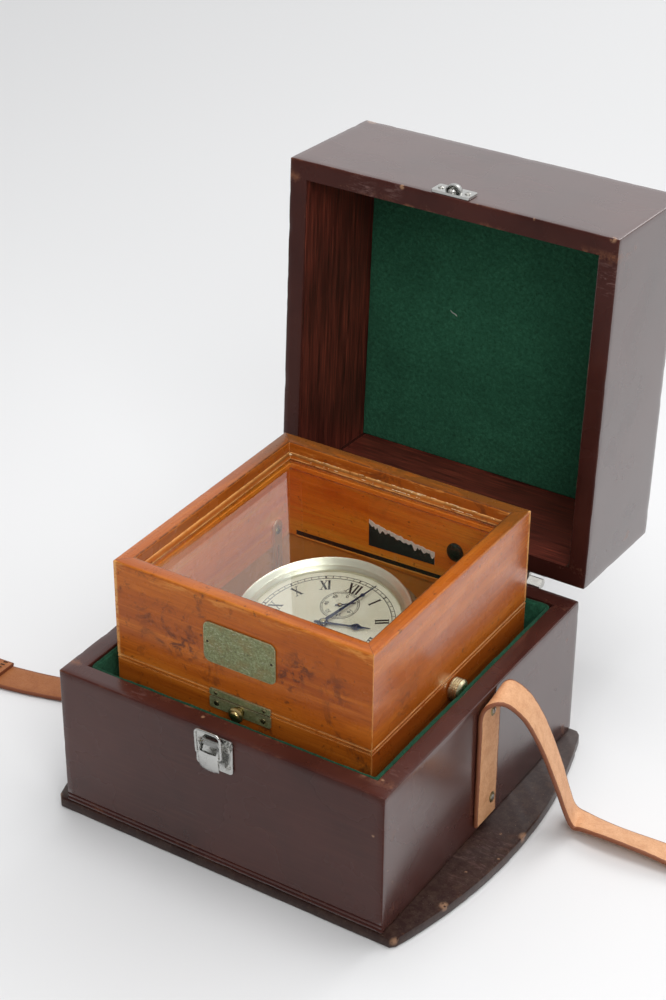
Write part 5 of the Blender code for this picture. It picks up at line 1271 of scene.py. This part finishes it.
def build_straps():
    """Both halves of the strap, with their screws, washers and stitches."""
    wide, thick = 25.0, 2.6
    on_wall = CASE_HALF + 0.3 + thick / 2
    across = (0.0, wide, 0.0)
    # Each station is a point on the middle of the strap, then the strap's width there as a vector.
    stations = [
        (on_wall, 0.0, 15.0, *across), (on_wall, 0.0, 45.0, *across), (on_wall, 0.0, 80.0, *across),
        (on_wall + 0.4, 0.0, 101.0, *across), (122.6, 3.0, 109.2, -4.0, 24.6, 1.0),
        (128.0, 8.4, 109.3, -8.5, 23.3, 2.5), (136.0, 15.6, 98.5, -9.5, 22.6, 5.0),
        (142.6, 21.8, 82.0, -9.5, 22.3, 6.5), (148.2, 27.0, 63.0, -9.5, 22.2, 6.5),
        (154.0, 32.4, 40.0, -9.5, 22.5, 5.0), (158.6, 36.4, 20.0, -9.6, 22.9, 1.5),
        (162.6, 39.6, 7.6, -9.6, 22.8, -1.0), (171.0, 39.8, 6.4, -6.0, 23.6, -5.5),
        (190.0, 39.0, 6.6, -1.0, 23.6, -8.2), (215.0, 40.2, 6.0, 0.0, 23.8, -7.4),
        (245.0, 42.4, 3.8, 0.0, 24.6, -4.0), (275.0, 44.0, 2.2, 0.0, 25.0, 0.0), (296.0, 44.6, 2.0, 0.0, 25.0, 0.0)]
    middles = curve_through([station[:3] for station in stations], 9)
    widths = curve_through([station[3:] for station in stations], 9)
    finish("strap_right_half", strap_mesh(middles, widths, thick), hide, "case",
           replaces=["strap_right"], smooth=60.0)

    bar_at = Vector((-278.0, -33.0, 5.8))  # the buckle's bar
    lay = 1.8  # the height of the strap's middle where it lies on the ground
    loop_r = bar_at.z - lay
    stations = [
        (-on_wall, 0.0, 15.0), (-on_wall, 0.0, 45.0), (-on_wall, 0.0, 80.0), (-on_wall - 0.4, 0.0, 101.0),
        (-122.6, -0.4, 109.2), (-128.4, -1.0, 109.6), (-136.5, -2.2, 99.0), (-144.0, -4.0, 80.0),
        (-151.0, -6.4, 57.0), (-158.0, -9.2, 32.0), (-166.0, -12.0, 11.0), (-176.0, -15.0, 3.4),
        (-196.0, -20.5, lay), (-222.0, -27.5, lay), (-248.0, -32.2, lay), (-266.0, -33.0, lay),
        (bar_at.x, bar_at.y, lay)]
    middles = curve_through(stations, 9)
    for i in range(1, 17):
        angle = -math.pi / 2 - math.pi * i / 16
        middles.append(Vector((bar_at.x + loop_r * math.cos(angle), bar_at.y, bar_at.z + loop_r * math.sin(angle))))
    rise = lay + thick + 0.3
    tail = [middles[-1]] + [(bar_at.x + x, y, rise + z) for x, y, z in (
        (6.0, bar_at.y, 3.0), (12.0, bar_at.y, 0.7), (20.0, -32.9, 0.0), (32.0, -32.0, 0.0))]
    middles += curve_through(tail, 4)[1:]
    bm = strap_mesh(middles, [Vector(across)] * len(middles), thick)
    slot = grid_box((bar_at.x - 8.0, bar_at.y - 2.2, 0.05), (bar_at.x + 5.2, bar_at.y + 2.2, bar_at.z + 6.5), 50.0)
    finish("strap_left_half", cut(bm, slot), hide_left, "case", replaces=["strap_left"], smooth=60.0)

    stitches = bmesh.new()
    for x in (-251.0, -259.0):
        for k in range(7):
            y = -42.6 + 3.3 * k + (0.5 if x < -255 else 0.0)
            z = rise + thick / 2
            path = [(x - 1.5, y, z - 0.25), (x - 0.9, y + 0.2, z + 0.35), (x + 0.9, y + 0.6, z + 0.35),
                    (x + 1.5, y + 0.8, z - 0.25)]
            wire(curve_through(path, 4), 0.42, 8, stitches)
    finish("strap_stitches", stitches, thread, "case")

    for sign, word, where in ((1, "right", ((2.0, 98.0), (6.0, 28.0))), (-1, "left", ((0.0, 98.0), (0.0, 28.0)))):
        face = sign * (on_wall + thick / 2)
        washers = None
        for y, z in where:
            washers = turned([(1.3, -0.2), (3.0, -0.2), (3.0, 0.35), (2.6, 0.7), (1.7, 0.75), (1.3, 0.5)], 36,
                             facing((face, y, z), (sign, 0, 0)) @ Matrix.Diagonal((1.0, 1.35, 1.0, 1.0)), washers)
        finish(f"strap_washers_{word}", washers, dark_brass, "case")
        spots = [((face + sign * 0.5, y, z), 1.9, 15.0 + 50 * k, 0.45) for k, (y, z) in enumerate(where)]
        screws(f"strap_screws_{word}", spots, (sign, 0, 0), steel, "case")


def build_latch():
    """Latch plate, lever and bail on the case, and the strike with its hood on the lid."""
    front = CASE_FRONT - 1.2
    hole = [(2.2, 85.2), (3.4, 85.2), (3.4, 87.6), (2.2, 87.6)]
    window = rounded(5.6, 3.6, 1.0, (0.0, 102.2))
    bm = slab(rounded(13.2, 12.3, 2.5, (0.0, LATCH_Z)), front, CASE_FRONT, [hole, window], "y")
    for side in (-1, 1):
        ends = sorted((side * 7.0, side * 7.8))
        ear = [(-127.5, 101.9), (-127.0, 101.4), (front + 0.4, 101.4), (front + 0.4, 105.4), (-127.0, 105.4),
               (-127.5, 104.9)]
        join(bm, slab(ear, ends[0], ends[1], plane="x"))
    join(bm, wire([Vector((-7.5, -126.2, 103.5)), Vector((7.5, -126.2, 103.5))], 0.8, 16))
    # The cross wire seen through the lever's window takes the dark brass: painted shade in the window.
    for side in bm.faces:
        middle = side.calc_center_median()
        if abs(middle.x) < 7.0 and middle.y < front - 0.1:
            side.material_index = 1
    finish("latch_backplate", bm, [bright, dark_brass], "case", replaces=["latch_plate"], bevel=0.25)
    spots = [((x, front, z), 2.1, turn, 0.4)
             for x, z, turn in ((9.6, 101.0, 35.0), (-9.9, 101.0, 110.0), (9.6, 88.5, 80.0), (-9.9, 88.5, 10.0))]
    screws("latch_screws", spots, (0, -1, 0), steel, "case")

    outer = [(-125.2, 105.8), (-126.4, 106.1), (-127.6, 105.5), (-128.5, 104.0), (-129.3, 102.0), (-130.3, 99.5),
             (-130.9, 97.0), (-131.0, 94.5), (-130.7, 91.5), (-130.1, 88.8), (-129.5, 87.2), (-129.0, 86.1),
             (-128.6, 85.4)]
    inner = [(-124.3, 104.4), (-124.9, 103.3), (-125.4, 102.3), (-125.9, 101.2), (-126.5, 99.8), (-127.2, 98.2),
             (-127.8, 96.5), (-128.2, 94.3), (-128.4, 91.6), (-128.1, 89.0), (-127.8, 87.2), (-127.6, 86.0),
             (-127.4, 85.2)]
    half = [6.3, 6.5, 6.6, 6.7, 6.8, 6.9, 7.0, 7.1, 7.1, 7.1, 7.0, 6.8, 6.2]
    bm = bmesh.new()
    spots = [-1.0, -0.97, -0.85, -0.6, -0.3, 0.0, 0.3, 0.6, 0.85, 0.97, 1.0]  # shares of the half width
    grids = []
    for path, crown in ((outer, 1.0), (inner, 0.0)):
        grids.append([[bm.verts.new((s * w, y + crown * (0.75 * s * s + 0.5 * abs(s) ** 12), z)) for s in spots]
                      for (y, z), w in zip(path, half)])
    rows, columns = len(outer), len(spots)
    for i in range(rows - 1):
        window = 3 <= i <= 4
        for k in range(columns - 1):
            if window and 2 <= k <= 7:
                continue
            for grid in grids:
                bm.faces.new((grid[i][k], grid[i][k + 1], grid[i + 1][k + 1], grid[i + 1][k]))
        for k in (0, columns - 1) + ((2, 8) if window else ()):
            bm.faces.new((grids[0][i][k], grids[0][i + 1][k], grids[1][i + 1][k], grids[1][i][k]))
    for i in (0, 3, 5, rows - 1):
        for k in range(columns - 1) if i in (0, rows - 1) else range(2, 8):
            bm.faces.new((grids[0][i][k], grids[0][i][k + 1], grids[1][i][k + 1], grids[1][i][k]))
    finish("latch_lever_plate", bm, bright, "latch_lever", replaces=["latch_lever"], smooth=40.0)

    path = [(-4.6, -128.7, 97.0), (-7.8, -128.7, 97.0), (-8.6, -128.72, 97.4), (-8.9, -128.75, 98.4),
            (-8.9, -129.2, 105.0), (-8.9, -129.55, 110.8), (-8.5, -129.7, 112.8), (-7.4, -129.78, 114.0),
            (-5.8, -129.8, 114.5)]
    path += [(-x, y, z) for x, y, z in path[::-1]]
    finish("latch_bail_wire", wire(curve_through(path, 4), 0.9, 16), bright, "latch_bail",
           replaces=["latch_bail"], smooth=60.0)

    front = CASE_FRONT - 1.7
    bm = slab(rounded(13.6, 6.0, 1.3, (0.0, STRIKE_Z)), front, CASE_FRONT, plane="y")
    rows, columns = 14, 9
    turns = [0.97 * math.pi / 2 * k / columns for k in range(columns + 1)]
    shells = []
    for across, reach, deep in ((5.6, 5.2, 6.0), (4.6, 4.2, 4.9)):
        shells.append([[bm.verts.new((across * math.cos(math.pi * i / rows) * math.cos(turn) ** 0.5,
                                      front + 0.3 - reach * math.sin(math.pi * i / rows) * math.cos(turn) ** 0.5,
                                      115.6 + deep * math.sin(turn)))
                        for i in range(rows + 1)] for turn in turns])
    for grid in shells:
        quads(bm, grid, around=False)
        bm.faces.new(grid[columns])
    for i in range(rows):
        bm.faces.new((shells[0][0][i], shells[1][0][i], shells[1][0][i + 1], shells[0][0][i + 1]))
    for k in range(columns):
        for i in (0, rows):
            bm.faces.new((shells[0][k][i], shells[0][k + 1][i], shells[1][k + 1][i], shells[1][k][i]))
    bm.faces.new((shells[0][columns][0], shells[0][columns][rows], shells[1][columns][rows], shells[1][columns][0]))
    finish("strike", bm, bright, "outer_lid", LID, ["strike_plate"])
    spots = [((0.0, front, 114.9), 2.8, 20.0, 0.8), ((9.6, front, 117.4), 2.0, 75.0, 0.45),
             ((-9.6, front, 117.4), 2.0, 5.0, 0.45)]
    screws("strike_screws", spots, (0, -1, 0), steel, "outer_lid", LID)


def build_hinge_screws():
    """Three countersunk screws in each leaf of the case's hinges."""
    for matrix, body, way in ((HERE, "case", -1), (LID, "outer_lid", 1)):
        spots = [((side * 63.0 + offset, 123.5, CASE_SEAM + way * up), 2.7, turn, 0.25) for side in (-1, 1)
                 for offset, up, turn in ((-17.0, 12.0, 20.0), (0.0, 15.5, 51.0), (17.0, 12.0, 82.0))]
        screws(f"{body}_hinge_screws", spots, (0, 1, 0), steel, body, matrix)


build_straps()
build_latch()
build_hinge_screws()

# ---------------------------------------------------------------- pieces kept as drawn in the CAD

pane_glass = clear_glass("window_glass_pane", (0.992, 0.996, 0.988), 0.05)
works = metal("movement_brass", (0.70, 0.53, 0.24), (0.20, 0.36), ((0.30, 0.20, 0.08), (0.50, 0.36, 0.16)), 0.10,
              streak=0.05)
bowl_brass = metal("polished_brass_bowl", (0.30, 0.26, 0.15), (0.26, 0.42), ((0.05, 0.045, 0.03), (0.16, 0.14, 0.08)),
                   0.35, streak=0.06)

# Each one's material, its slot and the width its edges are eased by. At 0 it is shaded smoothly instead.
KEPT = {
    "tray_walls": (tray_wood_lit_inside, "mahogany", None), "glass_pane": (pane_glass, "window_glass", None),
    "strap_buckle": (bright, "chrome", 0.8), "buckle_tongue": (bright, "chrome", 0.5),
    "gimbal_pivot_left": (dark_brass, "aged_brass", 0.0), "lid_stay": (pale_brass, "aged_brass", 0.25),
    "gimbal_ring": (bowl_brass, "polished_brass", 0.0), "bowl": (bowl_brass, "polished_brass", 0.0),
    "balance_spring": (hand_blue, "blued_steel", 0.0), "fusee_chain": (steel, "bright_steel", 0.0),
}
for hand in ("left", "right"):
    for leaf in ("case", "lid"):
        KEPT[f"{leaf}_hinge_leaf_{hand}"] = (steel, "bright_steel", 0.2)
    for leaf in ("tray", "glazed"):
        KEPT[f"{leaf}_hinge_leaf_{hand}"] = (dark_brass, "aged_brass", 0.15)
for name in ("pillar_plate", "top_plate", "mainspring_barrel", "fusee", "centre_wheel", "third_wheel",
             "fourth_wheel", "escape_wheel", "balance_wheel", "balance_cock", "winding_shutter"):
    KEPT[name] = (works, "movement_brass", 0.0)


def smooth_by_angle(degrees):
    """A node group that shades faces smoothly and keeps edges sharper than an angle."""
    group = bpy.data.node_groups.new("smooth by angle", "GeometryNodeTree")
    for way in ("INPUT", "OUTPUT"):
        group.interface.new_socket("Geometry", in_out=way, socket_type="NodeSocketGeometry")
    start, merge, faces, edges, angle, sharp, end = [group.nodes.new(kind) for kind in (
        "NodeGroupInput", "GeometryNodeMergeByDistance", "GeometryNodeSetShadeSmooth", "GeometryNodeSetShadeSmooth",
        "GeometryNodeInputMeshEdgeAngle", "FunctionNodeCompare", "NodeGroupOutput")]
    merge.inputs["Distance"].default_value = 0.000002
    faces.domain, edges.domain = "FACE", "EDGE"
    sharp.data_type, sharp.operation = "FLOAT", "LESS_EQUAL"
    sharp.inputs[1].default_value = math.radians(degrees)
    for before, after in ((start, merge), (merge, faces), (faces, edges), (angle, sharp), (edges, end)):
        group.links.new(before.outputs[0], after.inputs[0])
    group.links.new(sharp.outputs[0], edges.inputs["Shade Smooth"])
    return group


smooth_group = smooth_by_angle(32.0)
for name, (look, slot, bevel) in KEPT.items():
    piece = frame["nodes"][name]
    piece.data.materials.clear()
    piece.data.materials.append(look)
    if bevel:
        soften(piece, bevel)
    elif bevel is not None:
        piece.modifiers.new("Smooth shading", "NODES").node_group = smooth_group

# ---------------------------------------------------------------- floor, light, camera

floor_look = Look("studio_floor")
bpy.ops.mesh.primitive_plane_add(size=60.0, location=(0.0, 0.0, -0.0002))
floor = bpy.context.object
floor.name = "studio_floor"
floor.data.materials.append(floor_look.finish((0.745, 0.746, 0.750), 0.62, Specular_IOR_Level=0.25))

world = bpy.data.worlds.new("studio")
bpy.context.scene.world = world
world.use_nodes = True
sky = world.node_tree
towards = sky.nodes.new("ShaderNodeTexCoord").outputs["Generated"]


def glow(direction, low, high, strength):
    """Light from one part of the sky, strongest in a direction."""
    near = sky.nodes.new("ShaderNodeVectorMath")
    near.operation = "DOT_PRODUCT"
    sky.links.new(towards, near.inputs[0])
    near.inputs[1].default_value = Vector(direction).normalized()
    fade = sky.nodes.new("ShaderNodeMapRange")
    fade.interpolation_type = "SMOOTHSTEP"
    sky.links.new(near.outputs["Value"], fade.inputs["Value"])
    for label, value in (("From Min", low), ("From Max", high), ("To Max", strength)):
        fade.inputs[label].default_value = value
    return fade.outputs[0]


level = None
for direction, low, high, strength in (((0.0, 0.9, 0.42), 0.2, 0.95, 0.52), ((0.64, -0.72, 0.20), 0.4, 0.95, -0.25)):
    total = sky.nodes.new("ShaderNodeMath")
    total.operation = "ADD"
    total.inputs[0].default_value = 0.42
    if level is not None:
        sky.links.new(level, total.inputs[0])
    sky.links.new(glow(direction, low, high, strength), total.inputs[1])
    level = total.outputs[0]
sky.nodes["Background"].inputs["Color"].default_value = (0.985, 0.99, 1.0, 1.0)
sky.links.new(level, sky.nodes["Background"].inputs["Strength"])


def lamp(name, at, aim, size, power):
    """A square softbox aimed at a point."""
    data = bpy.data.lights.new(name, "AREA")
    data.shape = "SQUARE"
    data.size = size
    data.energy = power
    thing = bpy.data.objects.new(name, data)
    bpy.context.scene.collection.objects.link(thing)
    thing.location = at
    thing.rotation_euler = (Vector(aim) - Vector(at)).to_track_quat("-Z", "Y").to_euler()


lamp("softbox_key", (1.55, -1.6, 2.0), (0.1, 0.0, 0.1), 1.4, 34.5)
lamp("softbox_over", (0.08, 0.05, 1.30), (0.05, 0.03, 0.1), 0.7, 7.2)
lamp("softbox_back", (0.2, 2.5, 1.9), (-0.3, 1.9, 0.0), 1.6, 26.0)
lamp("softbox_right", (2.1, 1.8, 1.5), (0.4, 0.8, 0.0), 1.4, 9.5)

camera = bpy.data.objects.new("camera", bpy.data.cameras.new("camera"))
bpy.context.scene.collection.objects.link(camera)
bpy.context.scene.camera = camera
camera.data.sensor_width = 36.0
camera.data.lens = 81.09
ahead = Vector((-0.45692, 0.72483, -0.51560)).normalized()
right = Vector((0.84414, 0.53609, 0.00557)).normalized()
above = right.cross(ahead)
camera.matrix_world = Matrix.Translation((0.6316, -0.9940, 0.9181)) @ Matrix(
    (right, above, -ahead)).transposed().to_4x4()
bpy.context.scene.view_settings.view_transform = "Standard"
